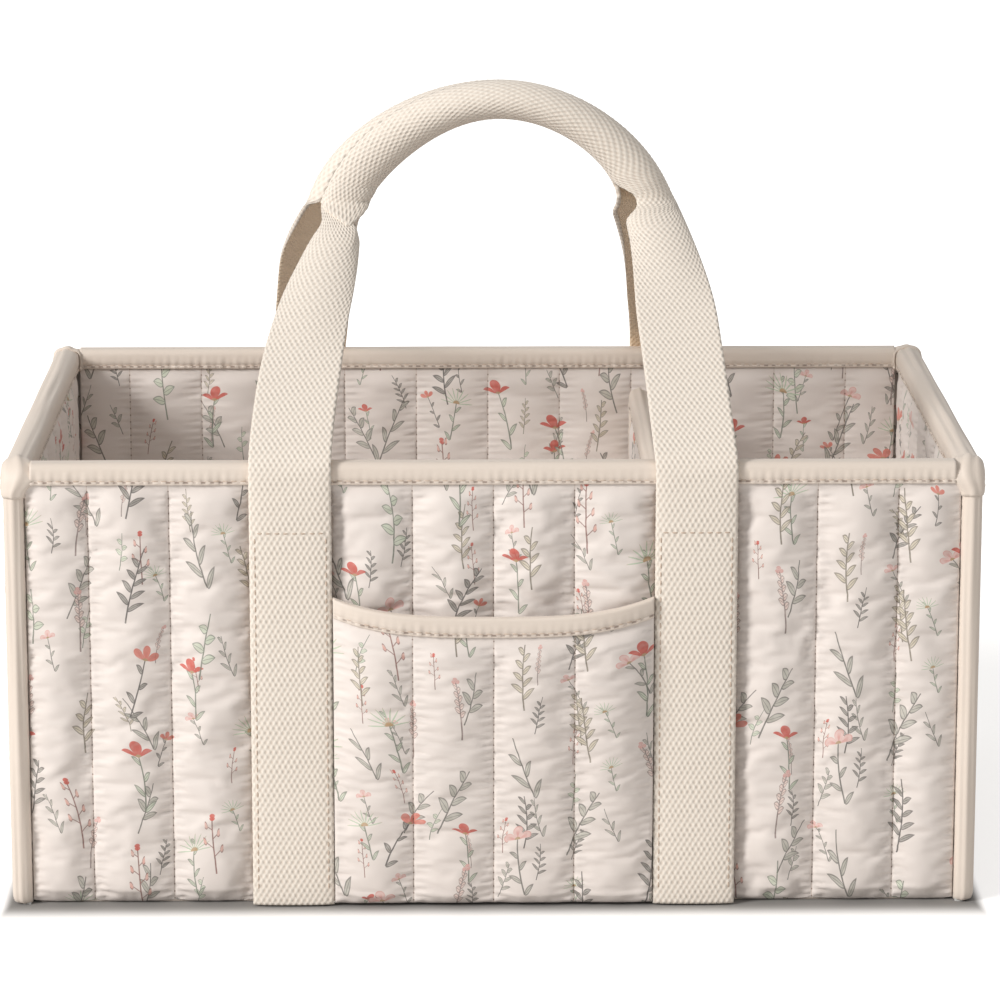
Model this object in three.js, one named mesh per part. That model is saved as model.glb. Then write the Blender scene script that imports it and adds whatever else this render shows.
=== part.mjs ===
// Baby organizer: an open caddy of quilted fabric over stiffening boards, with bound edges.
// Webbing straps climb the front and the back, and join over the middle in one rolled grip.
// There is a patch pocket on each long side, and a padded divider that is set along the inside.
// Millimetres, +Z up, -Y to the front. The origin is on the ground under the middle of the base.

import * as THREE from 'three';

// Body
const BODY_WIDTH = 380;
const BODY_DEPTH = 250;
const BODY_HEIGHT = 178;
const CORNER_RADIUS = 9;

// Gap that two sewn or stacked pieces keep between their faces
const CLEARANCE = 0.3;

// Quilting: vertical seams at one pitch, with a stuffed channel between each two
const QUILT_PITCH = 31.5;
const SHELL_THICKNESS = 4;
const SHELL_PUFF = 2.2;
const LINING_THICKNESS = 2.8;
const LINING_PUFF = 1.6;
const WALL_BOARD_THICKNESS = 3;
const CHANNEL_FADE = 13;
const FOOT_ROUND = 5;
const FOOT_TUCK = 0.8;
const BOARD_CORNER = 2;

// Binding tape folded over every raw edge
const BINDING_TAPE = 1.2;
const BINDING_REACH = 8;
const BINDING_ROUND = 1;

// Base
const BASE_SHEET_THICKNESS = 2;
const BASE_BOARD_THICKNESS = 3;
const BASE_PAD_THICKNESS = 4.4;
const BASE_PAD_PUFF = 1.6;
const PAD_EDGE = 8;

// Webbing straps, each laid over one quilt channel, with as many channels between it and the middle
const STRAP_CHANNEL_COUNT = 2;
const STRAP_WIDTH = 32;
const STRAP_THICKNESS = 2.5;

// Grip: two webbings sewn edge to edge round a core, in an arch over the middle
const GRIP_HALF_SPAN = 64;
const GRIP_MOUTH_HEIGHT = 84;
const GRIP_APEX_HEIGHT = 125;
const GRIP_ARCH_FOOT = 12;
const GRIP_APEX_HALF_HEIGHT = 8.2;
const GRIP_APEX_HALF_DEPTH = 11.5;
const GRIP_MOUTH_HALF_WIDTH = 12;
const GRIP_MOUTH_HALF_DEPTH = 8.5;
const GRIP_TWIST_DEG = 40;
// How a leg turns from a flat strap to the grip's half section. One end of each webbing is rolled in from
// low down, and the other stays flat almost to the mouth.
const ROLLED_LEG = { curlsFrom: 0.34, curlsTo: 1.03, sharpness: 1.5, lean: 1 };
const FLAT_LEG = { curlsFrom: 0.5, curlsTo: 1.03, sharpness: 1.8, lean: 1.5 };
const LEG_BOW = 3.5;
const LEG_FALL = 1.12;
const LEG_MOUTH_SHARE = 0.8;
const LEG_SLANT = 0.6;

// Patch pockets between the straps
const POCKET_SIDE_HEIGHT = 124;
const POCKET_DIP = 6;
const POCKET_STANDOFF = 10;
const POCKET_SHEET = 1.8;
const POCKET_PUFF = 2;
const POCKET_BINDING_TAPE = 1;
const POCKET_BINDING_REACH = 7;
const POCKET_FOOT = 2;

// Divider, held by hook tape on its ends and loop tape along the lining
const DIVIDER_PLACE = 66;
const DIVIDER_HEIGHT = 152;
const DIVIDER_SHEET_THICKNESS = 2.6;
const DIVIDER_PUFF = 1.2;
const DIVIDER_BOARD_THICKNESS = 2.4;
const HOOK_TAPE_WIDTH = 7;
const HOOK_TAPE_LENGTH = 110;
const HOOK_TAPE_THICKNESS = 1.5;
const LOOP_TAPE_WIDTH = 25;
const LOOP_TAPE_HEIGHT = 70;
const LOOP_TAPE_END_GAP = 9;
const LOOP_TAPE_THICKNESS = 1.2;

// Places that follow from the sizes above
const WALL_THICKNESS = SHELL_THICKNESS + WALL_BOARD_THICKNESS + LINING_THICKNESS + 2 * CLEARANCE;
const BOARD_DEPTH = SHELL_THICKNESS + CLEARANCE;
const LINING_DEPTH = BOARD_DEPTH + WALL_BOARD_THICKNESS + CLEARANCE;
const TAPE_SEAT = BINDING_TAPE + CLEARANCE;
const TAPE_MARGIN = BINDING_REACH - TAPE_SEAT + CLEARANCE;
const WALL_TOP = BODY_HEIGHT - TAPE_SEAT;
const LONG_WALL_HALF = BODY_WIDTH / 2 - WALL_THICKNESS - CLEARANCE;
const SHORT_WALL_HALF = BODY_DEPTH / 2 - TAPE_SEAT;
const INSIDE_HALF_DEPTH = BODY_DEPTH / 2 - WALL_THICKNESS;
const STRAP_CENTRE = (STRAP_CHANNEL_COUNT + 0.5) * QUILT_PITCH;
const POCKET_HALF = STRAP_CENTRE - STRAP_WIDTH / 2 - CLEARANCE;
const BASE_BOARD_Z = BASE_SHEET_THICKNESS + CLEARANCE;
const BASE_PAD_Z = BASE_BOARD_Z + BASE_BOARD_THICKNESS + CLEARANCE;
const FLOOR_TOP = BASE_PAD_Z + BASE_PAD_THICKNESS;

// Colours and finishes
const cloth = (color, roughness = 0.9) => new THREE.MeshStandardMaterial({ color, roughness, metalness: 0 });
const PRINTED_COTTON = cloth(0xf1e4da);
const BINDING_COTTON = cloth(0xecdccb, 0.8);
const WEBBING = cloth(0xefe6d8, 0.95);
const STIFF_BOARD = cloth(0xd9d9d6, 0.6);
const CORE_FOAM = cloth(0xf4f2ec, 0.85);
const HOOK_AND_LOOP = cloth(0xe6dacb, 0.95);

const point = (x, y, z) => new THREE.Vector3(x, y, z);
const mix = THREE.MathUtils.lerp;

// Ends of a loft. A band's outline runs out along one face and back along the other, point for point.
function bandCap(count) {
  const faces = [];
  for (let i = 0; i < count / 2 - 1; i += 1) {
    faces.push([i, i + 1, count - 2 - i], [i, count - 2 - i, count - 1 - i]);
  }
  return faces;
}

// A backed face's outline is the face's points and then the two corners of its flat back.
function backedCap(count) {
  const farCorner = count - 2;
  const nearCorner = count - 1;
  const middle = Math.floor((count - 3) / 2);
  const faces = [[middle, farCorner, nearCorner]];
  for (let i = 0; i < count - 3; i += 1) {
    faces.push([i, i + 1, i < middle ? nearCorner : farCorner]);
  }
  return faces;
}

// Any other outline is cut into triangles that turn the same way round as the outline does.
function outlineCap(outline) {
  const corners = outline.map(([a, b]) => new THREE.Vector2(a, b));
  const turn = (points) => Math.sign(THREE.ShapeUtils.area(points));
  return THREE.ShapeUtils.triangulateShape(corners, []).map((face) => (
    turn(face.map((i) => corners[i])) === turn(corners) ? face : [...face].reverse()
  ));
}

// A closed solid through rings of equally many points, with an end face on the first and the last.
function loft(rings, cap) {
  const count = rings[0].length;
  const positions = rings.flat().flatMap((p) => [p.x, p.y, p.z]);
  const index = [];
  for (let r = 0; r + 1 < rings.length; r += 1) {
    for (let i = 0; i < count; i += 1) {
      const a = r * count + i;
      const b = r * count + ((i + 1) % count);
      index.push(a, b, b + count, a, b + count, a + count);
    }
  }
  const last = (rings.length - 1) * count;
  for (const [a, b, c] of cap) {
    index.push(a, c, b, last + a, last + b, last + c);
  }
  const geometry = new THREE.BufferGeometry();
  geometry.setAttribute('position', new THREE.Float32BufferAttribute(positions, 3));
  geometry.setIndex(index);
  if (signedVolume(geometry) < 0) {
    geometry.setIndex(index.reverse());
  }
  geometry.computeVertexNormals();
  return geometry;
}

function signedVolume(geometry) {
  const place = geometry.getAttribute('position');
  const index = geometry.getIndex().array;
  const corner = (i) => new THREE.Vector3().fromBufferAttribute(place, index[i]);
  let volume = 0;
  for (let i = 0; i < index.length; i += 3) {
    volume += corner(i).dot(corner(i + 1).cross(corner(i + 2))) / 6;
  }
  return volume;
}

function piece(name, geometry, material) {
  const mesh = new THREE.Mesh(geometry, material);
  mesh.name = name;
  return mesh;
}

// Height of a stuffed channel over its seams, from 0 at a seam to 1 at the crown
const swellAcross = (t) => (4 * t * (1 - t)) ** 0.6;
const SHELL_STEPS = [0, 0.1, 0.35, 0.65, 0.9];
const LINING_STEPS = [0, 0.14, 0.5, 0.86];

// Seams at the quilt's pitch from the middle, with at least part of a channel left at each edge
function seamsWithin(half) {
  const leastEdge = QUILT_PITCH * 0.4;
  const seams = [0];
  for (let place = QUILT_PITCH; place < half - leastEdge; place += QUILT_PITCH) {
    seams.unshift(-place);
    seams.push(place);
  }
  return seams;
}

// Points across a quilted face, each with its place and the height of the channel there.
// A margin at each side lies pressed flat where an upright tape covers it.
function acrossChannels(half, seams, steps, margin = 0) {
  const inner = half - margin;
  const edges = [-inner, ...seams, inner];
  const samples = [];
  for (let c = 0; c + 1 < edges.length; c += 1) {
    for (const t of steps) {
      samples.push({ x: mix(edges[c], edges[c + 1], t), swell: swellAcross(t) });
    }
  }
  samples.push({ x: inner, swell: 0 });
  if (margin === 0) {
    return samples;
  }
  const pressed = (x) => ({ x, swell: 0, pressed: true });
  return [pressed(-half), pressed(-inner), ...samples.slice(1, -1), pressed(inner), pressed(half)];
}

// A quilted sheet that stands on its edge, with its flat back at y = 0 and its crowns at y = -thickness.
// Each level gives a height, the half width there, how deep the seams lie and how full the channels are.
function quiltedSheet(levels, seams, steps, thickness, puff, margin = 0) {
  const rings = levels.map(({ z, half, sunk, fill }) => {
    const face = acrossChannels(half, seams, steps, margin).map(({ x, swell, pressed }) => (
      point(x, pressed ? TAPE_SEAT - thickness : sunk - thickness - fill * puff * swell, z)
    ));
    return [...face, point(half, 0, z), point(-half, 0, z)];
  });
  return loft(rings, backedCap(rings[0].length));
}

// A board cut to an outline in X and Z, with its top corners rounded
function wallBoard(half, bottom, top, radius, thickness) {
  const outline = new THREE.Shape();
  outline.moveTo(-half, bottom);
  outline.lineTo(half, bottom);
  outline.lineTo(half, top - radius);
  outline.absarc(half - radius, top - radius, radius, 0, Math.PI / 2);
  outline.lineTo(-half + radius, top);
  outline.absarc(-half + radius, top - radius, radius, Math.PI / 2, Math.PI);
  const geometry = new THREE.ExtrudeGeometry(outline, { depth: thickness, bevelEnabled: false, curveSegments: 4 });
  geometry.rotateX(Math.PI / 2);
  geometry.translate(0, thickness, 0);
  return geometry;
}

// Section of a folded tape: distance in from the bound edge, and depth through the wall
function foldedTape(reach, depth, tape, round) {
  return [
    [reach, 0], [round, 0], [round * 0.3, round * 0.3], [0, round],
    [0, depth - round], [round * 0.3, depth - round * 0.3], [round, depth], [reach, depth],
    [reach, depth - tape], [tape, depth - tape], [tape, tape], [reach, tape],
  ];
}

// Tape folded over a panel's two upright edges and its top, in one length with rounded corners
function boundThreeEdges(half, bottom, top, depth, radius) {
  const section = foldedTape(BINDING_REACH, depth, BINDING_TAPE, BINDING_ROUND);
  const stations = [{ x: -half, z: bottom, turn: 0 }];
  const quarter = Math.PI / 2;
  const cornerSteps = 3;
  for (let i = 0; i <= cornerSteps; i += 1) {
    const turn = (quarter * i) / cornerSteps;
    stations.push({
      x: -half + radius * (1 - Math.cos(turn)), z: top - radius * (1 - Math.sin(turn)), turn,
    });
  }
  for (let i = stations.length - 1; i >= 0; i -= 1) {
    const { x, z, turn } = stations[i];
    stations.push({ x: -x, z, turn: Math.PI - turn });
  }
  const rings = stations.map(({ x, z, turn }) => section.map(([inward, through]) => (
    point(x + inward * Math.cos(turn), through, z - inward * Math.sin(turn))
  )));
  return loft(rings, outlineCap(section));
}

// Tape folded over a straight top edge
function boundTopEdge(half, top, depth) {
  const section = foldedTape(BINDING_REACH, depth, BINDING_TAPE, BINDING_ROUND);
  const outline = new THREE.Shape(section.map(([inward, through]) => new THREE.Vector2(through, -inward)));
  const geometry = new THREE.ExtrudeGeometry(outline, { depth: 2 * half, bevelEnabled: false });
  // The outline's axes are depth and height, and two quarter turns lay its length along X
  geometry.rotateX(Math.PI / 2);
  geometry.rotateZ(Math.PI / 2);
  geometry.translate(-half, 0, top);
  return geometry;
}

// Quilt levels of a wall: full over its height, and pressed flat by the rim's tape
function wallLevels(foot, half, radius, puff) {
  const underTape = BODY_HEIGHT - BINDING_REACH;
  const narrowed = (z) => {
    const over = Math.max(0, z - (WALL_TOP - radius));
    return half - radius + Math.sqrt(Math.max(0, radius ** 2 - over ** 2));
  };
  const levels = [
    ...foot,
    { z: underTape - CHANNEL_FADE, sunk: puff, fill: 1 },
    { z: underTape - CHANNEL_FADE * 0.3, sunk: puff, fill: 0.75 },
    { z: underTape - CLEARANCE, sunk: TAPE_SEAT, fill: 0 },
  ];
  if (radius > 0) {
    levels.push({ z: WALL_TOP - radius * 0.4, sunk: TAPE_SEAT, fill: 0 });
  }
  levels.push({ z: WALL_TOP, sunk: TAPE_SEAT, fill: 0 });
  return levels.map((level) => ({ ...level, half: narrowed(level.z) }));
}

// One wall, with its outer crowns at y = 0 and its lining's crowns at y = WALL_THICKNESS
function wall(name, half, { radius, margin, innerBottom }) {
  const group = new THREE.Group();
  const seams = seamsWithin(half - margin);
  const roundedFoot = [
    { z: 0, sunk: SHELL_PUFF + FOOT_TUCK, fill: 0 },
    { z: 0.5 * FOOT_ROUND, sunk: SHELL_PUFF, fill: 0.6 },
    { z: 3 * FOOT_ROUND, sunk: SHELL_PUFF, fill: 1 },
  ];
  const shellLevels = wallLevels(roundedFoot, half, radius, SHELL_PUFF);
  const shell = piece(
    `${name}_shell`,
    quiltedSheet(shellLevels, seams, SHELL_STEPS, SHELL_THICKNESS, SHELL_PUFF, margin),
    PRINTED_COTTON,
  );
  shell.position.y = SHELL_THICKNESS;
  const board = piece(
    `${name}_board`,
    wallBoard(half, innerBottom, WALL_TOP, Math.max(radius, BOARD_CORNER), WALL_BOARD_THICKNESS),
    STIFF_BOARD,
  );
  board.position.y = BOARD_DEPTH;
  const squareFoot = [
    { z: innerBottom, sunk: LINING_PUFF, fill: 0 },
    { z: innerBottom + FOOT_ROUND, sunk: LINING_PUFF, fill: 1 },
  ];
  const liningLevels = wallLevels(squareFoot, half, radius, LINING_PUFF);
  const lining = piece(
    `${name}_lining`,
    quiltedSheet(liningLevels, seams, LINING_STEPS, LINING_THICKNESS, LINING_PUFF, margin),
    PRINTED_COTTON,
  );
  lining.rotation.z = Math.PI;
  lining.position.y = LINING_DEPTH;
  group.add(shell, board, lining);
  return group;
}

// A long wall carries a pocket, two straps and the tape on its rim
function longWall(name) {
  const group = wall(name, LONG_WALL_HALF, { radius: 0, margin: 0, innerBottom: BASE_BOARD_Z });
  group.add(
    piece(`${name}_rim_binding`, boundTopEdge(LONG_WALL_HALF, BODY_HEIGHT, WALL_THICKNESS), BINDING_COTTON),
    piece(`${name}_pocket_panel`, pocketPanel(), PRINTED_COTTON),
    piece(`${name}_pocket_binding`, pocketBinding(), BINDING_COTTON),
  );
  const loopTape = piece(
    `${name}_loop_tape`,
    new THREE.BoxGeometry(2 * (LONG_WALL_HALF - LOOP_TAPE_END_GAP), LOOP_TAPE_THICKNESS, LOOP_TAPE_WIDTH),
    HOOK_AND_LOOP,
  );
  loopTape.position.set(
    0,
    WALL_THICKNESS + CLEARANCE + LOOP_TAPE_THICKNESS / 2,
    LOOP_TAPE_HEIGHT + LOOP_TAPE_WIDTH / 2,
  );
  group.add(loopTape);
  for (const side of [-1, 1]) {
    const strap = piece(`${name}_strap_${side < 0 ? 'left' : 'right'}`, sewnStrap(), WEBBING);
    strap.position.set(side * STRAP_CENTRE, -CLEARANCE - STRAP_THICKNESS / 2, 0);
    group.add(strap);
  }
  return group;
}

// A short wall is one panel with tape all round its upright edges and its top
function shortWall(name) {
  const shape = { radius: CORNER_RADIUS - TAPE_SEAT, margin: TAPE_MARGIN, innerBottom: 0 };
  const group = wall(name, SHORT_WALL_HALF, shape);
  group.add(piece(
    `${name}_edge_binding`,
    boundThreeEdges(BODY_DEPTH / 2, 0, BODY_HEIGHT, WALL_THICKNESS, CORNER_RADIUS),
    BINDING_COTTON,
  ));
  return group;
}

// Webbing from the foot of the wall to the rim, with eased selvedges
function sewnStrap() {
  const half = STRAP_WIDTH / 2;
  const thick = STRAP_THICKNESS / 2;
  const ease = thick * 0.6;
  const outline = new THREE.Shape([
    new THREE.Vector2(-half, -thick + ease), new THREE.Vector2(-half + ease, -thick),
    new THREE.Vector2(half - ease, -thick), new THREE.Vector2(half, -thick + ease),
    new THREE.Vector2(half, thick - ease), new THREE.Vector2(half - ease, thick),
    new THREE.Vector2(-half + ease, thick), new THREE.Vector2(-half, thick - ease),
  ]);
  return new THREE.ExtrudeGeometry(outline, { depth: BODY_HEIGHT, bevelEnabled: false });
}

// The pocket's mouth dips in the middle, and the pocket stands off the wall towards it
const POCKET_SEAT = POCKET_BINDING_TAPE + 2 * CLEARANCE;
const pocketTop = (x) => POCKET_SIDE_HEIGHT - POCKET_DIP * (1 - Math.abs(x / POCKET_HALF) ** 3);
const pocketBow = (x) => 1 - Math.abs(x / POCKET_HALF) ** 4;
const pocketStandoff = (x, rise) => (
  mix(CLEARANCE, POCKET_SEAT, rise) + (POCKET_STANDOFF - POCKET_SEAT) * rise * pocketBow(x)
);

function pocketSamples() {
  return acrossChannels(POCKET_HALF, seamsWithin(POCKET_HALF), LINING_STEPS);
}

function pocketPanel() {
  const underTape = POCKET_BINDING_REACH + CLEARANCE;
  const levels = [
    { height: () => POCKET_FOOT, rise: 0, fill: 0.3 },
    { height: () => POCKET_FOOT + FOOT_ROUND, rise: 0.03, fill: 0.85 },
    { height: (x) => 0.3 * pocketTop(x), rise: 0.45, fill: 1 },
    { height: (x) => 0.6 * pocketTop(x), rise: 0.85, fill: 1 },
    { height: (x) => pocketTop(x) - underTape - 0.7 * CHANNEL_FADE, rise: 1, fill: 1 },
    { height: (x) => pocketTop(x) - underTape, rise: 1, fill: 0 },
    { height: (x) => pocketTop(x), rise: 1, fill: 0 },
  ];
  const rings = levels.map(({ height, rise, fill }) => {
    const samples = pocketSamples();
    const face = samples.map(({ x, swell }) => (
      point(x, -pocketStandoff(x, rise) - POCKET_SHEET - fill * POCKET_PUFF * swell, height(x))
    ));
    const back = samples.map(({ x }) => point(x, -pocketStandoff(x, rise), height(x))).reverse();
    return [...face, ...back];
  });
  return loft(rings, bandCap(rings[0].length));
}

// Tape folded over the pocket's curved mouth
function pocketBinding() {
  const depth = POCKET_SHEET + 2 * (CLEARANCE + POCKET_BINDING_TAPE);
  const section = foldedTape(POCKET_BINDING_REACH, depth, POCKET_BINDING_TAPE, POCKET_BINDING_TAPE * 0.7);
  const rings = pocketSamples().map(({ x }) => {
    const nearWall = -pocketStandoff(x, 1) + CLEARANCE + POCKET_BINDING_TAPE;
    const crest = pocketTop(x) + CLEARANCE + POCKET_BINDING_TAPE;
    return section.map(([down, out]) => point(x, nearWall - out, crest - down));
  });
  return loft(rings, outlineCap(section));
}

// Handle. One webbing is followed from mouth to mouth of the grip, and down a leg at each end to its strap.
// The other webbing is the same, turned half round.
const MOUTH_Z = BODY_HEIGHT + GRIP_MOUTH_HEIGHT;
const ARCH_FOOT_Z = MOUTH_Z - GRIP_ARCH_FOOT;
const ARCH_RISE = BODY_HEIGHT + GRIP_APEX_HEIGHT - ARCH_FOOT_Z;
const MOUTH_ANGLE = Math.asin(GRIP_ARCH_FOOT / ARCH_RISE);

// A place along the arch, from 0 at the left mouth to 1 at the right one
function archStation(s) {
  const along = mix(Math.PI - MOUTH_ANGLE, MOUTH_ANGLE, s);
  const outward = Math.PI * (1 - s);
  const arched = Math.sin(outward) ** 2;
  return {
    centre: point(GRIP_HALF_SPAN * Math.cos(along), 0, ARCH_FOOT_Z + ARCH_RISE * Math.sin(along)),
    outward: point(Math.cos(outward), 0, Math.sin(outward)),
    reach: mix(GRIP_MOUTH_HALF_WIDTH, GRIP_APEX_HALF_HEIGHT, arched),
    depth: mix(GRIP_MOUTH_HALF_DEPTH, GRIP_APEX_HALF_DEPTH, arched),
    twist: THREE.MathUtils.degToRad(mix(GRIP_TWIST_DEG, -GRIP_TWIST_DEG, s)),
  };
}

// A point of the grip's section: angle 0 is the outside of the arch and a quarter turn is its front
function gripPoint(station, angle, inset) {
  const { centre, outward, reach, depth } = station;
  return centre.clone()
    .addScaledVector(outward, (reach - inset) * Math.cos(angle))
    .add(point(0, -(depth - inset) * Math.sin(angle), 0));
}

// The front webbing's half of the section, from its outer seam to its inner one
const WEB_STEPS = 6;
function webAngles(station) {
  const seamGap = CLEARANCE / (station.reach + station.depth);
  return Array.from({ length: WEB_STEPS + 1 }, (_, i) => (
    station.twist + mix(seamGap, Math.PI - seamGap, i / WEB_STEPS)
  ));
}

const GRIP_STEPS = 18;
function gripStations() {
  return Array.from({ length: GRIP_STEPS + 1 }, (_, i) => archStation(i / GRIP_STEPS));
}

function gripHalf() {
  const rings = gripStations().map((station) => {
    const angles = webAngles(station);
    const outside = angles.map((a) => gripPoint(station, a, 0));
    const inside = angles.map((a) => gripPoint(station, a, STRAP_THICKNESS)).reverse();
    return [...outside, ...inside];
  });
  return loft(rings, bandCap(rings[0].length));
}

// The core fills the grip and stops one step inside each mouth
function gripCore() {
  const sides = 2 * WEB_STEPS;
  const rings = gripStations().slice(1, -1).map((station) => (
    Array.from({ length: sides }, (_, k) => (
      gripPoint(station, station.twist + (2 * Math.PI * k) / sides, STRAP_THICKNESS + CLEARANCE)
    ))
  ));
  const fan = Array.from({ length: sides - 2 }, (_, k) => [0, k + 1, k + 2]);
  return loft(rings, fan);
}

// A leg leaves its strap flat at the rim, leans in to the middle and curls into the grip's half section
function gripLeg(side) {
  const station = archStation(side < 0 ? 0 : 1);
  const angles = webAngles(station);
  const strapFace = -BODY_DEPTH / 2 - CLEARANCE - STRAP_THICKNESS;
  const start = BODY_HEIGHT + CLEARANCE;
  const end = MOUTH_Z - CLEARANCE;
  const mouthFace = -station.depth * LEG_MOUTH_SHARE;
  const { curlsFrom, curlsTo, sharpness, lean } = side < 0 ? ROLLED_LEG : FLAT_LEG;
  const shares = [0, 0.08, 0.2, 0.34, 0.48, 0.6, 0.7, 0.79, 0.87, 0.94, 1];
  const rings = shares.map((w) => {
    const z = mix(start, end, w);
    const curl = THREE.MathUtils.smoothstep(w, curlsFrom, curlsTo) ** sharpness;
    const bow = side * LEG_BOW * Math.sin(Math.PI * w);
    const centreX = mix(side * STRAP_CENTRE, station.centre.x, w ** lean) + bow;
    const faceY = mix(strapFace, mouthFace, w ** LEG_FALL);
    // Measured level, the webbing is thicker where it slopes than it is square to its face
    const sloping = Math.sin(Math.PI * Math.min(1, w + 0.12)) * Math.min(1, w * 12);
    const slant = STRAP_THICKNESS * (1 + LEG_SLANT * sloping);
    const across = (angle, i, inset, through) => {
      const u = 1 - (2 * i) / WEB_STEPS;
      const flat = point(centreX + station.outward.x * u * (STRAP_WIDTH / 2), faceY + through, z);
      const curled = gripPoint(station, angle, inset).setZ(z);
      return flat.lerp(curled, w === 1 ? 1 : curl);
    };
    const outside = angles.map((a, i) => across(a, i, 0, 0));
    const inside = angles.map((a, i) => across(a, i, STRAP_THICKNESS, slant)).reverse();
    return [...outside, ...inside];
  });
  return loft(rings, bandCap(rings[0].length));
}

function handleWebbing(name, legNames) {
  const group = new THREE.Group();
  group.add(
    piece(`grip_${name}_web`, gripHalf(), WEBBING),
    piece(`${name}_leg_${legNames[0]}`, gripLeg(-1), WEBBING),
    piece(`${name}_leg_${legNames[1]}`, gripLeg(1), WEBBING),
  );
  return group;
}

// The floor: a sheet under the walls' boards, a stiff board and a quilted pad
function base() {
  const group = new THREE.Group();
  const slab = (name, halfY, bottom, thickness, material) => {
    const mesh = piece(name, new THREE.BoxGeometry(2 * LONG_WALL_HALF, 2 * halfY, thickness), material);
    mesh.position.z = bottom + thickness / 2;
    return mesh;
  };
  const sheetHalf = BODY_DEPTH / 2 - SHELL_THICKNESS - CLEARANCE;
  const boardHalf = INSIDE_HALF_DEPTH - CLEARANCE;
  group.add(
    slab('base_sheet', sheetHalf, 0, BASE_SHEET_THICKNESS, PRINTED_COTTON),
    slab('base_board', boardHalf, BASE_BOARD_Z, BASE_BOARD_THICKNESS, STIFF_BOARD),
  );
  const half = LONG_WALL_HALF;
  const levels = [
    { z: -boardHalf, half, sunk: BASE_PAD_PUFF, fill: 0 },
    { z: -boardHalf + PAD_EDGE, half, sunk: BASE_PAD_PUFF, fill: 1 },
    { z: boardHalf - PAD_EDGE, half, sunk: BASE_PAD_PUFF, fill: 1 },
    { z: boardHalf, half, sunk: BASE_PAD_PUFF, fill: 0 },
  ];
  const pad = piece(
    'base_pad',
    quiltedSheet(levels, seamsWithin(half), LINING_STEPS, BASE_PAD_THICKNESS, BASE_PAD_PUFF),
    PRINTED_COTTON,
  );
  pad.rotation.x = -Math.PI / 2;
  pad.position.z = BASE_PAD_Z;
  group.add(pad);
  return group;
}

// The divider stands across the inside. Its parts lie in its own frame, with its length along X.
function divider() {
  const group = new THREE.Group();
  const tapeFace = INSIDE_HALF_DEPTH - CLEARANCE - LOOP_TAPE_THICKNESS - CLEARANCE;
  const half = tapeFace - HOOK_TAPE_THICKNESS - CLEARANCE;
  const sheetHalf = half - TAPE_SEAT;
  const depth = 2 * DIVIDER_SHEET_THICKNESS + DIVIDER_BOARD_THICKNESS + 2 * CLEARANCE;
  const radius = CORNER_RADIUS - TAPE_SEAT;
  const sheetTop = DIVIDER_HEIGHT - TAPE_SEAT;
  const underTape = DIVIDER_HEIGHT - BINDING_REACH;
  const levels = [
    { z: 0, half: sheetHalf, sunk: DIVIDER_PUFF, fill: 0 },
    { z: PAD_EDGE, half: sheetHalf, sunk: DIVIDER_PUFF, fill: 1 },
    { z: underTape - PAD_EDGE, half: sheetHalf, sunk: DIVIDER_PUFF, fill: 1 },
    { z: underTape - CLEARANCE, half: sheetHalf, sunk: TAPE_SEAT, fill: 0 },
    { z: sheetTop - radius * 0.4, half: sheetHalf - radius * 0.2, sunk: TAPE_SEAT, fill: 0 },
    { z: sheetTop, half: sheetHalf - radius, sunk: TAPE_SEAT, fill: 0 },
  ];
  const sheet = () => quiltedSheet(
    levels, seamsWithin(sheetHalf - TAPE_MARGIN), LINING_STEPS, DIVIDER_SHEET_THICKNESS, DIVIDER_PUFF,
    TAPE_MARGIN,
  );
  const right = piece('divider_sheet_right', sheet(), PRINTED_COTTON);
  right.position.y = DIVIDER_SHEET_THICKNESS;
  const left = piece('divider_sheet_left', sheet(), PRINTED_COTTON);
  left.rotation.z = Math.PI;
  left.position.y = depth - DIVIDER_SHEET_THICKNESS;
  const board = piece(
    'divider_board', wallBoard(sheetHalf, 0, sheetTop, radius, DIVIDER_BOARD_THICKNESS), STIFF_BOARD,
  );
  board.position.y = DIVIDER_SHEET_THICKNESS + CLEARANCE;
  const binding = piece(
    'divider_binding', boundThreeEdges(half, 0, DIVIDER_HEIGHT, depth, CORNER_RADIUS), BINDING_COTTON,
  );
  group.add(right, left, board, binding);
  for (const side of [-1, 1]) {
    const hook = piece(
      `divider_hook_tape_${side < 0 ? 'front' : 'back'}`,
      new THREE.BoxGeometry(HOOK_TAPE_THICKNESS, HOOK_TAPE_WIDTH, HOOK_TAPE_LENGTH),
      HOOK_AND_LOOP,
    );
    hook.position.set(
      side * (half + CLEARANCE + HOOK_TAPE_THICKNESS / 2), depth / 2, DIVIDER_HEIGHT / 2,
    );
    group.add(hook);
  }
  group.rotation.z = Math.PI / 2;
  group.position.set(DIVIDER_PLACE + depth / 2, 0, FLOOR_TOP + CLEARANCE);
  return group;
}

const organizer = new THREE.Group();

const front = longWall('front');
front.position.y = -BODY_DEPTH / 2;
const back = longWall('back');
back.rotation.z = Math.PI;
back.position.y = BODY_DEPTH / 2;
const left = shortWall('left');
left.rotation.z = -Math.PI / 2;
left.position.x = -BODY_WIDTH / 2;
const right = shortWall('right');
right.rotation.z = Math.PI / 2;
right.position.x = BODY_WIDTH / 2;
organizer.add(front, back, left, right, base(), divider());

const backWebbing = handleWebbing('back', ['right', 'left']);
backWebbing.rotation.z = Math.PI;
organizer.add(handleWebbing('front', ['left', 'right']), backWebbing, piece('grip_core', gripCore(), CORE_FOAM));

export default organizer;
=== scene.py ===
import math

import bmesh
import bpy
from mathutils import Matrix, Vector, noise


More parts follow.
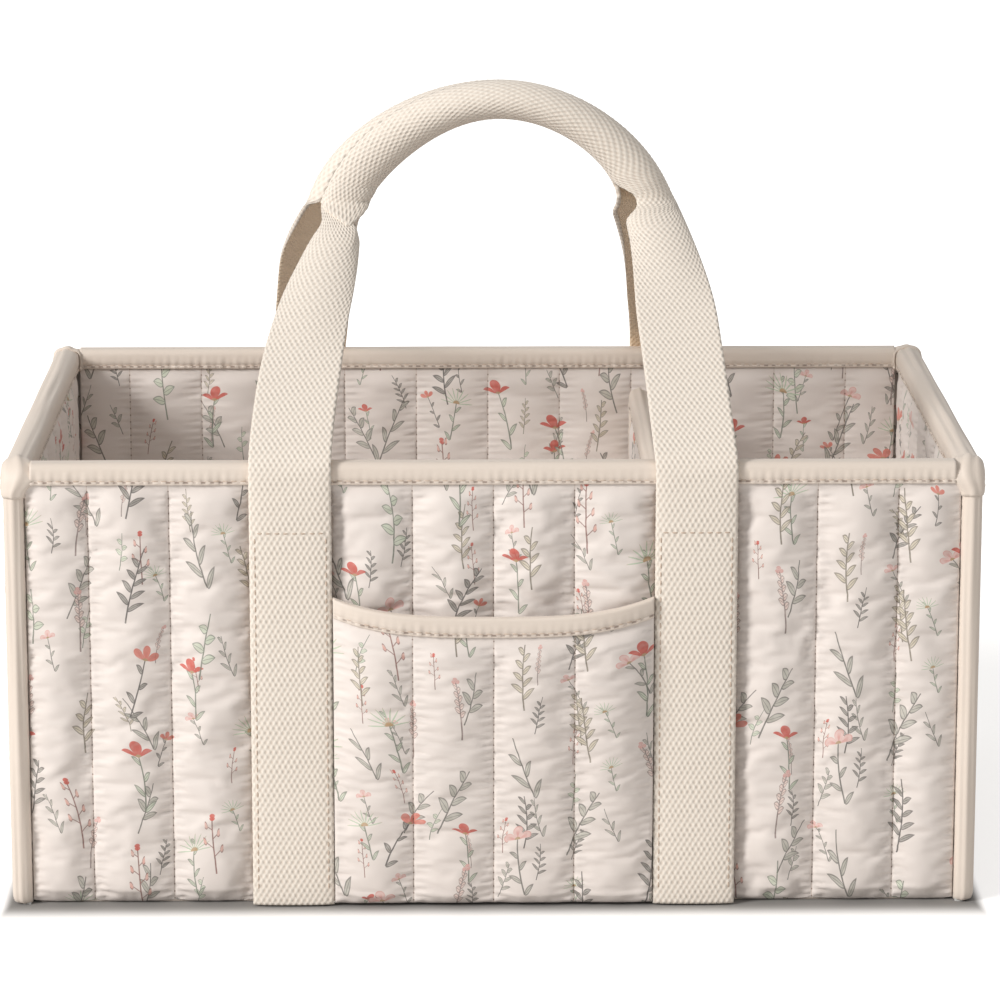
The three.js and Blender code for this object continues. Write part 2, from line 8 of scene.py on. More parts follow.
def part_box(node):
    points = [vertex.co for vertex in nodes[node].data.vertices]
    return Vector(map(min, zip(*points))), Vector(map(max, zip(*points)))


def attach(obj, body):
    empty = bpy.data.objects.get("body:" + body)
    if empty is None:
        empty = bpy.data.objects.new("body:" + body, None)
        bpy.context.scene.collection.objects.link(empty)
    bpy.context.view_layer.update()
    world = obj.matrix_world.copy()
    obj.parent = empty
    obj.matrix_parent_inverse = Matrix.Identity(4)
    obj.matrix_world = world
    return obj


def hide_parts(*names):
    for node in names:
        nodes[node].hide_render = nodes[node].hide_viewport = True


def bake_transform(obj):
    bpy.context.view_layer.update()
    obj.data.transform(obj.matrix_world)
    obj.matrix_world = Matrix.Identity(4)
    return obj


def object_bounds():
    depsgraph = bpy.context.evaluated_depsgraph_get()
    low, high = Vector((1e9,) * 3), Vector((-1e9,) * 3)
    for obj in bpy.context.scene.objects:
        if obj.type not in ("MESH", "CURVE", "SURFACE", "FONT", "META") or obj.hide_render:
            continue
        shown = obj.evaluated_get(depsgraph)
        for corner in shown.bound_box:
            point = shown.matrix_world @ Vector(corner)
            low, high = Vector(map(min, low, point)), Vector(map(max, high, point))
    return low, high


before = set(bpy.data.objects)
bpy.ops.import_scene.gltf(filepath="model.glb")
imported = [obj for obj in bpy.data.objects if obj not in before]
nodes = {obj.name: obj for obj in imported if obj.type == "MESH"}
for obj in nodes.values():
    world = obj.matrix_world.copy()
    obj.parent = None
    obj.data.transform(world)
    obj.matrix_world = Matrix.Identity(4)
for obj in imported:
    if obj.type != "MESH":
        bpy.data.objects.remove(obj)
cad_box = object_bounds()


# Camera
# It stands a little left of the middle and looks down at the front from above the rim.
CAMERA_PLACE = (-0.01707, -1.80043, 0.53590)
CAMERA_TILT = 0.218705
CAMERA_TURN = 0.011694
FOCAL_PIXELS = 4432.67
IMAGE_PIXELS = 1000

lens = bpy.data.cameras.new("camera")
lens.sensor_width = 36
lens.lens = lens.sensor_width * FOCAL_PIXELS / IMAGE_PIXELS
camera = bpy.data.objects.new("camera", lens)
camera.location = CAMERA_PLACE
camera.rotation_euler = (math.pi / 2 - CAMERA_TILT, 0, -CAMERA_TURN)
bpy.context.scene.collection.objects.link(camera)
bpy.context.scene.camera = camera


# Floor and light
# A white floor that keeps the shadow, with a painted contact shadow along the body's foot, a broad lamp at
# the upper left, and a pale surround.
FLOOR_SIZE = 12
FLOOR_COLOUR = (0.78, 0.765, 0.75, 1)
PAINTED_SHADOW_COLOUR = (0.27, 0.26, 0.25, 1)
FLOOR_LIFT = 0.55
FAR_LIFT = 0.85
SIDE_SHADE = 0.005
CONTACT_SHADE = 0.018
SHADE_START = 0.004
SHADE_END = 0.024
NEAR_FLOOR = 0.30
FAR_FLOOR = 0.75
SURROUND = 0.49
SURROUND_COLOUR = (1, 0.985, 0.965, 1)
KEY_PLACE = (-3.6, -2.4, 2.4)
KEY_AIM = (0, 0, 0.1)
KEY_SIZE = 1.5
KEY_WATTS = 185
KEY_COLOUR = (1, 0.975, 0.955)


class Value:
    """A value of a material. Arithmetic on it adds the nodes that work it out."""

    def __init__(self, tree, socket):
        self.tree = tree
        self.socket = socket

    def node(self, kind, settings=None, inputs=None, output=0):
        """Adds a node, sets its settings and then its sockets' values or links, and gives one output."""
        made = self.tree.nodes.new(kind)
        for name, setting in (settings or {}).items():
            if name == "stops":
                made.color_ramp.interpolation = "CONSTANT"
                for k, (place, colour) in enumerate(setting):
                    stops = made.color_ramp.elements
                    stop = stops[k] if k < 1 else stops.new(place)
                    stop.position = place
                    stop.color = colour
                made.color_ramp.elements.remove(made.color_ramp.elements[-1])
            else:
                setattr(made, name, setting)
        for name, given in (inputs or {}).items():
            if isinstance(given, Value):
                self.tree.links.new(given.socket, made.inputs[name])
            else:
                made.inputs[name].default_value = given
        return Value(self.tree, made.outputs[output])

    def maths(self, operation, *others):
        return self.node("ShaderNodeMath", {"operation": operation}, dict(enumerate((self, *others))))

    def __add__(self, other):
        return self.maths("ADD", other)

    __radd__ = __add__

    def __mul__(self, other):
        return self.maths("MULTIPLY", other)

    __rmul__ = __mul__

    def __sub__(self, other):
        return self.maths("SUBTRACT", other)

    def __rsub__(self, other):
        return self.node("ShaderNodeMath", {"operation": "SUBTRACT"}, {0: other, 1: self})

    def __truediv__(self, other):
        return self.maths("DIVIDE", other)

    def __pow__(self, other):
        return self.maths("POWER", other)

    def __mod__(self, other):
        return self.maths("FLOORED_MODULO", other)

    def __lt__(self, other):
        return self.maths("LESS_THAN", other)

    def __gt__(self, other):
        return self.maths("GREATER_THAN", other)

    def __abs__(self):
        return self.maths("ABSOLUTE")

    def ramp(self, low, high):
        """0 up to the low value, 1 from the high one, and smooth between."""
        inputs = {"Value": self, "From Min": low, "From Max": high, "To Min": 0.0, "To Max": 1.0}
        return self.node("ShaderNodeMapRange", {"interpolation_type": "SMOOTHSTEP"}, inputs)

    def under(self, edge, soft=0.12):
        """1 where this is under the edge, and 0 where it is over, with a soft step between."""
        inputs = {"Value": self - edge, "From Min": -soft, "From Max": soft, "To Min": 1.0, "To Max": 0.0}
        return self.node("ShaderNodeMapRange", {"interpolation_type": "SMOOTHSTEP"}, inputs)

    def blend(self, first, second):
        """The first colour where this mask is 0, and the second where it is 1."""
        return self.node("ShaderNodeMix", {"data_type": "RGBA"}, {0: self, 6: first, 7: second}, output=2)

    def parts(self):
        return [self.node("ShaderNodeSeparateXYZ", None, {0: self}, output=k) for k in range(3)]

    def with_others(self, y, z=0.0):
        return self.node("ShaderNodeCombineXYZ", None, {0: self, 1: y, 2: z})

    def speckle(self, scale, detail=2.0):
        return self.node("ShaderNodeTexNoise", None, {"Vector": self, "Scale": scale, "Detail": detail})


def new_finish(name, roughness, sheen=0.0, coordinates="UV"):
    """A material, its main shader, and the coordinates in metres that it reads."""
    finish = bpy.data.materials.new(name)
    finish.use_nodes = True
    surface = finish.node_tree.nodes["Principled BSDF"]
    surface.inputs["Roughness"].default_value = roughness
    surface.inputs["Sheen Weight"].default_value = sheen
    place = finish.node_tree.nodes.new("ShaderNodeTexCoord")
    return finish, surface, Value(finish.node_tree, place.outputs[coordinates])


bpy.ops.object.select_all(action="DESELECT")
bpy.ops.mesh.primitive_plane_add(size=FLOOR_SIZE, location=(0, 0, 0))
floor = bpy.context.object
floor.name = "floor"
white_floor, surface, place = new_finish("white_floor", 1.0, 0.0, "Object")
seen = place.node("ShaderNodeLightPath", output="Is Camera Ray")
across, deep, _ = place.parts()
away = (across * across + deep * deep) ** 0.5
beside = (abs(across) - cad_box[1].x).maths("MAXIMUM", 0.0)
before = (abs(deep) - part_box("right_edge_binding")[1].y).maths("MAXIMUM", 0.0)
# Painted shadow: near the body's foot the floor's colour turns dark and its glow for the camera fades out,
# standing in for a contact shadow.
at_side = beside.ramp(0.0, SIDE_SHADE)
clear = at_side.maths("MAXIMUM", before.ramp(0.0, CONTACT_SHADE))
tone = clear.blend(PAINTED_SHADOW_COLOUR, FLOOR_COLOUR)
tone.tree.links.new(tone.socket, surface.inputs["Base Color"])
lift = FLOOR_LIFT * at_side.maths("MAXIMUM", before.ramp(SHADE_START, SHADE_END))
lift = lift + (FAR_LIFT - FLOOR_LIFT) * away.ramp(NEAR_FLOOR, FAR_FLOOR)
glow = place.node("ShaderNodeEmission", None, {"Strength": seen * lift})
both = place.node("ShaderNodeAddShader", None, {0: Value(place.tree, surface.outputs[0]), 1: glow})
place.tree.links.new(both.socket, place.tree.nodes["Material Output"].inputs["Surface"])
floor.data.materials.append(white_floor)

world = bpy.data.worlds.new("surround")
world.use_nodes = True
bpy.context.scene.world = world
lit = Value(world.node_tree, world.node_tree.nodes["Background"].outputs[0])
lit.socket.node.inputs["Color"].default_value = SURROUND_COLOUR
lit.socket.node.inputs["Strength"].default_value = SURROUND
white = lit.node("ShaderNodeBackground", None, {"Strength": 1.0})
seen = lit.node("ShaderNodeLightPath", output="Is Camera Ray")
either = lit.node("ShaderNodeMixShader", None, {0: seen, 1: lit, 2: white})
lit.tree.links.new(either.socket, lit.tree.nodes["World Output"].inputs["Surface"])

key = bpy.data.lights.new("key", "AREA")
key.size = KEY_SIZE
key.energy = KEY_WATTS
key.color = KEY_COLOUR
key_lamp = bpy.data.objects.new("key", key)
key_lamp.location = KEY_PLACE
key_lamp.rotation_euler = (Vector(KEY_AIM) - key_lamp.location).to_track_quat("-Z", "Y").to_euler()
bpy.context.scene.collection.objects.link(key_lamp)

bpy.context.scene.view_settings.view_transform = "Standard"


# Stuffed channels
# Two layers of cotton with wadding between, sewn together along upright seams. A swatch of six channels
# is simulated: the seams are held, the wadding presses, and the cloth is a little longer than its seams.
PITCH = 0.0315
CHANNELS = 6
CHANNEL_STEPS = 16
SWATCH_HEIGHT = 0.170
SWATCH_ROWS = 86
WADDING_PRESSURE = 25
CLOTH_SPARE = 0.026
START_PUFF = 0.0028
START_RIPPLE = 0.0002
END_FADE = 28
SETTLE_STEPS = 24
SWATCH_FULL = 0.0042

bpy.ops.object.select_all(action="DESELECT")
bpy.ops.mesh.primitive_grid_add(x_subdivisions=CHANNELS * CHANNEL_STEPS, y_subdivisions=SWATCH_ROWS, size=1)
swatch = bpy.context.object
row_length = CHANNELS * CHANNEL_STEPS + 1
held = swatch.vertex_groups.new(name="held")
flat = []
for vertex in swatch.data.vertices:
    row, column = divmod(vertex.index, row_length)
    across = column % CHANNEL_STEPS / CHANNEL_STEPS
    up = row / SWATCH_ROWS
    fade = min(1, up * END_FADE, (1 - up) * END_FADE)
    ripple = noise.noise(Vector((column * 0.30, row * 0.52, 1))) * (across > 0)
    puff = math.sin(math.pi * across) ** 0.7 * fade
    flat.append(Vector((column * PITCH / CHANNEL_STEPS, 0, up * SWATCH_HEIGHT)))
    vertex.co = flat[-1] + Vector((0, -START_PUFF * puff - START_RIPPLE * ripple, 0))
    if across == 0 or row in (0, SWATCH_ROWS):
        held.add([vertex.index], 1, "REPLACE")
wadding = swatch.modifiers.new("wadding", "CLOTH")
wadding.settings.vertex_group_mass = "held"
wadding.settings.quality = 6
wadding.settings.mass = 0.15
wadding.settings.tension_stiffness = 30
wadding.settings.compression_stiffness = 30
wadding.settings.shear_stiffness = 10
wadding.settings.bending_stiffness = 0.15
wadding.settings.use_pressure = True
wadding.settings.uniform_pressure_force = WADDING_PRESSURE
wadding.settings.shrink_min = -CLOTH_SPARE
wadding.settings.effector_weights.gravity = 0
wadding.collision_settings.use_collision = False
wadding.point_cache.frame_end = SETTLE_STEPS
for step in range(1, SETTLE_STEPS + 1):
    bpy.context.scene.frame_set(step)
bpy.ops.object.modifier_apply(modifier="wadding")
swollen = [vertex.co - flat[vertex.index] for vertex in swatch.data.vertices]
bpy.data.objects.remove(swatch)


def swell(channel, across, up):
    """How far a channel's cloth is pushed along, out (-Y) and up, as a share of the full puff."""
    flipped = channel % 4 > 1
    if flipped:
        up = 1 - up
    column = ((channel * 5 + 2) % CHANNELS + across) * CHANNEL_STEPS
    row = min(max(up, 0), 1) * SWATCH_ROWS
    left, low = min(int(column), row_length - 2), min(int(row), SWATCH_ROWS - 1)
    corner = low * row_length + left
    lower = swollen[corner].lerp(swollen[corner + 1], column - left)
    upper = swollen[corner + row_length].lerp(swollen[corner + row_length + 1], column - left)
    push = lower.lerp(upper, row - low)
    if flipped:
        push.z = -push.z
    near = min(across, 1 - across) * CHANNEL_STEPS
    if 0 < near < 1:
        push.y /= math.sqrt(near)
    return push / SWATCH_FULL


# Printed cotton
# A cream-blush cotton sateen, printed with small sprigs: olive and fern leaves, daisies, cups, lavender
# and berries, drawn one to each place of a staggered layout, and turned, bent and coloured by chance.
GROUND = (0.77, 0.70, 0.655, 1)
GROUND_LIGHT = (0.82, 0.755, 0.71, 1)
SEAM_SHADE = (0.42, 0.29, 0.21, 1)
# Painted shade in the needle holes of the seams and the tapes.
PAINTED_HOLE_SHADE = (0.16, 0.095, 0.065, 1)
NEEDLE_PITCH = 3.0
PLACE_WIDTH = 25.0
PLACE_HEIGHT = 40.0
SAGE = (0.33, 0.33, 0.285)
SLATE = (0.11, 0.10, 0.095)
MINT = (0.48, 0.58, 0.43)
STRAW = (0.56, 0.48, 0.34)
BRICK = (0.60, 0.125, 0.095)
CORAL = (0.70, 0.24, 0.19)
BLUSH = (0.77, 0.54, 0.50)
HEART = (0.45, 0.30, 0.16, 1)
# Each kind of sprig: leaf length, leaf width, leaf spacing, lift, bare foot, head size, petals,
# petal point, berries instead of leaves, opening of the head, colour of its leaves and of its head.
SPRIGS = (
    (9.5, 1.55, 7.6, 1.0, 0.16, 0.0, 5, 0.6, 0, 1.0, SAGE, SAGE),
    (6.0, 1.0, 12.0, 0.9, 0.10, 6.2, 7, 0.5, 0, 0.42, SLATE, CORAL),
    (8.2, 1.0, 5.2, 0.9, 0.20, 0.0, 5, 0.6, 0, 1.0, SLATE, SLATE),
    (7.0, 1.8, 8.0, 0.6, 0.22, 0.0, 5, 0.6, 0, 1.0, MINT, MINT),
    (7.0, 1.0, 13.0, 1.2, 0.05, 6.6, 5, 0.40, 0, 0.36, MINT, BRICK),
    (3.4, 1.3, 3.6, 0.8, 0.40, 1.6, 3, 0.4, 0, 1.0, BLUSH, BLUSH),
    (6.5, 1.1, 7.0, 1.0, 0.25, 1.4, 2, 0.3, 1, 1.0, CORAL, BRICK),
    (7.2, 1.1, 5.4, 1.0, 0.12, 0.0, 5, 0.6, 0, 1.0, STRAW, STRAW),
    (6.0, 0.9, 10.0, 1.1, 0.06, 8.4, 17, 7.0, 0, 0.50, MINT, MINT),
    (6.4, 1.0, 11.0, 1.0, 0.12, 5.6, 5, 0.45, 0, 0.50, SAGE, BLUSH),
    (10.0, 1.2, 10.5, 1.5, 0.02, 0.0, 5, 0.6, 0, 1.0, SAGE, SAGE),
)


def sprig_sizes(pick, columns, scales):
    """Four columns of the sprigs for the kind that was picked. The scales bring them within 0 and 1."""
    stops = [
        (k / len(SPRIGS), [row[column] / scale for column, scale in zip(columns, scales)])
        for k, row in enumerate(SPRIGS)
    ]
    found = pick.node("ShaderNodeValToRGB", {"stops": stops}, {0: pick})
    fourth = Value(found.tree, found.socket.node.outputs["Alpha"])
    return [value * scale for value, scale in zip([*found.parts(), fourth], scales)]


def sprig_colour(pick, column):
    stops = [(k / len(SPRIGS), (*row[column], 1)) for k, row in enumerate(SPRIGS)]
    return pick.node("ShaderNodeValToRGB", {"stops": stops}, {0: pick})


def scatter_sprigs(cloth, ground, size, seed, share_left_out):
    """Prints a sprig in most places of a staggered layout over the ground. Lengths are in millimetres."""
    u, v, _ = cloth.parts()
    column_place = u * (1000 / (PLACE_WIDTH * size)) + seed
    column = column_place.maths("FLOOR")
    row_place = v * (1000 / (PLACE_HEIGHT * size)) + column * 0.62 + seed * 0.37
    row = row_place.maths("FLOOR")
    here = column.with_others(row, float(seed))
    chance = here.node("ShaderNodeTexWhiteNoise", {"noise_dimensions": "3D"}, {"Vector": here}, output=1)
    pick = Value(chance.tree, chance.socket.node.outputs[0])
    turn, sway, tint = chance.parts()
    x = (column_place - column - 0.5) * PLACE_WIDTH + (tint - 0.5) * 5
    y = (row_place - row - 0.5) * PLACE_HEIGHT + (sway - 0.5) * 5
    angle = (turn - 0.5) * 0.8
    cosine, sine = angle.maths("COSINE"), angle.maths("SINE")
    tall = 24 + 7 * tint
    height = y * cosine - x * sine + tall * 0.5
    share = height / tall
    aside = x * cosine + y * sine - (sway - 0.5) * 13 * (share * share - 0.35)
    distance = abs(aside)

    length, width, spacing, lift = sprig_sizes(pick, (0, 1, 2, 3), (10, 5, 15, 2))
    foot, head, petals, point = sprig_sizes(pick, (4, 5, 6, 7), (1, 10, 20, 20))
    berries, opening, _, _ = sprig_sizes(pick, (8, 9, 8, 9), (1, 1, 1, 1))
    leaf_colour = sprig_colour(pick, 10)
    head_colour = sprig_colour(pick, 11)

    slant = (lift * lift + 1) ** 0.5
    from_foot = height + (aside > 0) * spacing * 0.5 - distance * lift + distance * distance * 0.035
    nearest = (from_foot / spacing).maths("FLOOR") * spacing + spacing * 0.5
    level = nearest / tall
    reach = length * (1.12 - level * 0.7)
    out = distance * slant / reach
    off = abs(from_foot - nearest) / slant
    grows = (out < 1) * (level > foot) * (level < 0.93)
    leaf = width * 2.6 * (out.maths("MAXIMUM", 0.001) ** 0.55) * (1 - out).maths("MAXIMUM", 0.0)
    berry = (width * width - ((out - 0.86) * reach) ** 2).maths("MAXIMUM", 0.03) ** 0.5
    outline = leaf + (berry - leaf) * berries
    left_out = (turn * 7.3 + tint * 3.1) % 1 < share_left_out
    shown = 1 - left_out
    leaf_mask = (off - outline).under(0) * grows * shown
    leaf_edge = 1 - (outline - off).under(0.34, 0.16)
    vein = off.under(0.10, 0.08) * (1 - berries)

    top = tall - head * 0.9
    stem_mask = distance.under(0.30 - share * 0.10) * (height > 0) * (height < top) * shown

    rise = height - top
    radius = (aside * aside + rise * rise) ** 0.5
    around = aside.maths("ARCTAN2", rise)
    lobe = abs((around * petals * 0.5).maths("COSINE")) ** point
    within = head * (lobe * 0.78 + 0.22) - radius
    petal_mask = (0 - within).under(0) * (abs(around) < opening * math.pi) * (head > 0.5) * shown
    petal_edge = 1 - within.under(0.40, 0.18)
    centre_mask = radius.under(head * 0.2) * (head > 3)
    streak = (radius / (head + 0.01)).under(0.62, 0.2) * (lobe > 0.94) * (petals < 12)

    wash = cloth.speckle(420, 1.0) * 0.5 + 0.72
    strength = 0.94 * wash.maths("MINIMUM", 1.0)
    line_tone = (wash * 0.75).blend(leaf_colour, (*SLATE, 1))
    leaf_wash = (wash * 0.60).blend((0.80, 0.76, 0.68, 1), leaf_colour)
    leaf_dark = leaf_colour.node(
        "ShaderNodeMix", {"data_type": "RGBA"}, {0: 0.8, 6: leaf_colour, 7: (*SLATE, 1)}, output=2,
    )
    leaf_tone = (vein.maths("MAXIMUM", 1 - leaf_edge) * 0.85).blend(leaf_wash, leaf_dark)
    head_tone = (streak.maths("MAXIMUM", 1 - petal_edge) * 0.38).blend(head_colour, (*BRICK, 1))
    head_tone = centre_mask.blend(head_tone, HEART)
    printed = (stem_mask * strength).blend(ground, line_tone)
    printed = (leaf_mask * strength).blend(printed, leaf_tone)
    return (petal_mask * strength).blend(printed, head_tone)


def colour_it(surface, colour):
    colour.tree.links.new(colour.socket, surface.inputs["Base Color"])


def raise_it(surface, height, distance):
    """Gives the surface a relief, whose height is a share of the distance in metres."""
    bumped = height.node("ShaderNodeBump", None, {"Height": height, "Distance": distance, "Strength": 1.0})
    bumped.tree.links.new(bumped.socket, surface.inputs["Normal"])


printed_cotton, surface, cloth = new_finish("printed_cotton", 0.62, 0.15)
colour = cloth.speckle(9, 3.0).blend(GROUND, GROUND_LIGHT)
colour = scatter_sprigs(cloth, colour, 0.55, 17, 0.48)
colour = scatter_sprigs(cloth, colour, 0.85, 31, 0.52)
colour = scatter_sprigs(cloth, colour, 1.0, 4, 0.06)
u, v, _ = cloth.parts()
from_seam = abs((u * 1000 + PITCH * 500) % (PITCH * 1000) - PITCH * 500)
along_dash = abs((v * 1000 / NEEDLE_PITCH) % 1 - 0.5) * NEEDLE_PITCH
# Painted shade: a thin dark line down each seam's valley, and dark dots at its needle holes.
colour = (from_seam.under(0.16, 0.16) * 0.4).blend(colour, SEAM_SHADE)
painted_hole_shade = from_seam.under(0.24, 0.14) * along_dash.under(0.30, 0.2)
colour_it(surface, (painted_hole_shade * 0.85).blend(colour, PAINTED_HOLE_SHADE))
raise_it(surface, cloth.speckle(2600, 1.0), 0.00006)


# Outer panels
# The four quilted sheets that are seen from outside. Each stands on its turned-in foot, is pressed flat
# under the rim's tape, and is flatter where a strap or a pocket is sewn over it.
HALF_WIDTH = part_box("right_edge_binding")[1].x
HALF_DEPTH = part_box("right_edge_binding")[1].y
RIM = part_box("front_rim_binding")[1].z
LONG_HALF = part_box("front_shell")[1].x
SHORT_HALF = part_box("left_shell")[1].y
STRAP_CENTRE = sum(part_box("front_strap_right"), Vector()).x / 2
STRAP_HALF = 0.016
POCKET_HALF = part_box("front_pocket_panel")[1].x
SEAM_DEPTH = 0.0036
PANEL_PUFF = 0.0054
PANEL_CLOTH = 0.0008
PANEL_BACK = 0.0039
STRAP_PRESS = 0.70
POCKET_PRESS = 0.74
NEEDLE_DRAW = 0.0006
SEAM_SHOULDERS = (0.0004, 0.0010)
BAND_TRIM = 0.0025
TAPE_SEAT = 0.0014
TAPE_REACH = 0.0085
TOP_FADE = 0.009
TOP_ZONE = 0.020
TOP_SPACING = 0.0009
ROW_SPACING = 0.00105
FOOT_ZONE = 0.008
FOOT_SPACING = 0.0008
FOOT_ROUND = 0.0028
FOOT_PINCH = 0.0009
FOOT_SINK = 0.0006
FLOOR_GAP = 0.0002
UPRIGHT_TAPE_SEAT = 0.0070
CORNER_RADIUS = 0.009
WALLS = {
    "front": Matrix.Translation((0, -HALF_DEPTH, 0)),
    "back": Matrix.Translation((0, HALF_DEPTH, 0)) @ Matrix.Rotation(math.pi, 4, "Z"),
    "left": Matrix.Translation((-HALF_WIDTH, 0, 0)) @ Matrix.Rotation(-math.pi / 2, 4, "Z"),
    "right": Matrix.Translation((HALF_WIDTH, 0, 0)) @ Matrix.Rotation(math.pi / 2, 4, "Z"),
}


def lay_cloth(name, across, along, place, thickness, finish, print_from=(0, 0), back=None, stand=Matrix()):
    """A piece of cloth: a grid whose crossings are put in place, given a thickness, and stood in its wall.
    Each entry of across and along starts with its distance on the cloth, which goes into the UV map."""
    bpy.ops.object.select_all(action="DESELECT")
    bpy.ops.mesh.primitive_grid_add(x_subdivisions=len(across) - 1, y_subdivisions=len(along) - 1, size=1)
    piece = bpy.context.object
    piece.name = piece.data.name = name
    mesh = piece.data
    for vertex in mesh.vertices:
        row, column = divmod(vertex.index, len(across))
        vertex.co = place(across[column], along[row])
    uv = mesh.uv_layers[0].data
    for corner in mesh.loops:
        row, column = divmod(corner.vertex_index, len(across))
        uv[corner.index].uv = (across[column][0] + print_from[0], along[row][0] + print_from[1])
    wall = piece.modifiers.new("wall", "SOLIDIFY")
    wall.thickness = thickness
    wall.offset = -1
    bpy.ops.object.modifier_apply(modifier="wall")
    if back is not None:
        for vertex in mesh.vertices[len(across) * len(along):]:
            vertex.co.y = back
    mesh.transform(stand)
    bpy.ops.object.shade_smooth()
    mesh.materials.append(finish)
    return piece


def steps(start, end, spacing):
    """Evenly spaced places from start up to, but without, end."""
    count = max(1, round(abs(end - start) / spacing))
    return [start + (end - start) * k / count for k in range(count)]


def lines(start, *runs):
    """The lines of a grid along one way, in runs that each have an end and a spacing."""
    places = []
    for end, spacing in runs:
        places += steps(start, end, spacing)
        start = end
    return [(place,) for place in [*places, start]]


def quilt_columns(half, margin=0.0, fineness=CHANNEL_STEPS):
    """The lines across a quilted sheet: each one's place, channel, share across it and channel's width."""
    inner = half - margin
    seams = [k * PITCH for k in range(-20, 21) if abs(k * PITCH) < inner - 0.4 * PITCH]
    edges = [-inner, *seams, inner]
    columns = [(x, None, 0, PITCH) for x in (steps(-half, -inner, 0.003) if margin else [])]
    for k in range(len(edges) - 1):
        start, end = edges[k], edges[k + 1]
        width = end - start
        places = steps(start, end, PITCH / fineness)
        places += [start + beside for beside in SEAM_SHOULDERS] + [end - beside for beside in SEAM_SHOULDERS]
        for x in sorted(places):
            columns.append((x, k, (x - start) / width, width))
    columns.append((inner, len(edges) - 2, 1, PITCH))
    return columns + [(-x, None, 0, PITCH) for x, _, _, _ in reversed(columns) if x < -inner]


def smooth(low, high, value):
    share = min(max((value - low) / (high - low), 0), 1)
    return share * share * (3 - 2 * share)


def mix(a, b, share):
    return a + (b - a) * share


def rounded(share):
    """The height of a quarter circle, from 0 at its foot to 1."""
    return math.sqrt(1 - (1 - min(max(share, 0), 1)) ** 2)


def in_rounded_corners(spot, half, top):
    """Draws a point in to the rounded upper corners of its sheet."""
    limit = half - CORNER_RADIUS * (1 - rounded((top - spot.z) / CORNER_RADIUS))
    spot.x = max(-limit, min(limit, spot.x))
    return spot


def under_tape(z, edge):
    """1 where a tape with its turned edge at a height covers the cloth, and 0 where the cloth swells."""
    return smooth(edge - TOP_FADE, edge, z) ** 1.6


def under_tapes(x, z, top, open_half):
    """The same for a sheet with a tape along its top and, unless open_half is 0, one up each side."""
    at_side = smooth(open_half - 0.0008, open_half + 0.0002, abs(x)) if open_half else 0
    return max(under_tape(z, top - TAPE_REACH), at_side)


def foot_pinch(share, round_foot):
    """How far the seams are drawn up where the cloth turns in at its foot."""
    return FOOT_PINCH * (1 - math.sin(math.pi * share) ** 0.6) * (1 - round_foot)


def drawn_in(share, z, swelling):
    """How far the needle holes of a seam pull in the cloth beside them."""
    near = min(share, 1 - share) * CHANNEL_STEPS
    along = math.cos(2 * math.pi * z / (NEEDLE_PITCH / 1000)) * smooth(0.0, PANEL_PUFF / 2, swelling)
    return NEEDLE_DRAW * along * smooth(3.5, 1, near) * min(1, near)


def quilt(heights, facing, first_channel, base, full):
    """The place function of a quilted sheet. It faces -Y or +Y, and base and full give, at a point of it,
    how deep its seams lie and how far its channels swell."""
    bottom, top = heights[0][0], heights[-1][0]

    def place(column, height):
        x, channel, share, width = column
        z = height[0]
        if channel is None:
            return Vector((x, base(x, z), z))
        push = swell(channel + first_channel, share, (z - bottom) / (top - bottom))
        swelling = full(x, z)
        push = push * swelling * (width / PITCH) ** 0.6
        push.y -= drawn_in(share, z, swelling)
        return Vector((x + push.x, base(x, z) - facing * push.y, z + push.z))

    return place


def panel_heights(bottom, top):
    """The lines up a quilted sheet, closer together at its foot and near its top."""
    return lines(
        bottom, (bottom + FOOT_ZONE, FOOT_SPACING), (top - TOP_ZONE, ROW_SPACING), (top, TOP_SPACING),
    )


def outer_panel(wall, half, margin, first_channel):
    top = RIM - TAPE_SEAT
    open_half = half - margin if margin else 0

    def foot(z):
        return rounded(z / FOOT_ROUND)

    def base(x, z):
        depth = SEAM_DEPTH + FOOT_SINK * (1 - foot(z))
        return mix(depth, TAPE_SEAT, under_tapes(x, z, RIM, open_half))

    def full(x, z):
        puff = PANEL_PUFF * foot(z) * (1 - under_tapes(x, z, RIM, open_half))
        if margin == 0 and abs(abs(x) - STRAP_CENTRE) < PITCH / 2:
            puff *= STRAP_PRESS
        elif margin == 0 and abs(x) < POCKET_HALF:
            puff *= mix(POCKET_PRESS, 1, smooth(0.03, 0.08, z))
        return puff

    columns = quilt_columns(half, margin)
    heights = panel_heights(0, top)
    flat_place = quilt(heights, -1, first_channel, base, full)

    def place(column, height):
        spot = flat_place(column, height)
        spot.z += foot_pinch(column[2], foot(height[0])) + FLOOR_GAP
        if margin:
            return in_rounded_corners(spot, half, top)
        past_tape = smooth(LONG_HALF - 0.0005, LONG_HALF + 0.0008, abs(spot.x))
        spot.z = min(spot.z, mix(RIM, RIM - CORNER_RADIUS - 0.001, past_tape))
        return spot

    panel = lay_cloth(
        f"{wall}_outer_panel", columns, heights, place, PANEL_CLOTH, printed_cotton,
        (first_channel * PITCH, first_channel * 5 * NEEDLE_PITCH / 1000), PANEL_BACK, WALLS[wall],
    )
    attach(panel, "caddy")
    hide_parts(f"{wall}_shell")


outer_panel("front", LONG_HALF + BAND_TRIM, 0, 0)
outer_panel("back", LONG_HALF + BAND_TRIM, 0, 23)
outer_panel("left", SHORT_HALF, UPRIGHT_TAPE_SEAT, 40)
outer_panel("right", SHORT_HALF, UPRIGHT_TAPE_SEAT, 57)


# Linings
# Thinner quilted sheets of the same cotton that face the inside, and a quilted pad on the floor.
LINING_SEAM = 0.0085
LINING_PUFF = 0.0026
LINING_CLOTH = 0.0006
LINING_BACK = 0.0077
LINING_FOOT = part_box("base_pad")[0].z
WALL_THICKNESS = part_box("front_rim_binding")[1].y + HALF_DEPTH
LINING_STEPS = 10
HIDDEN_MARGIN = 0.006


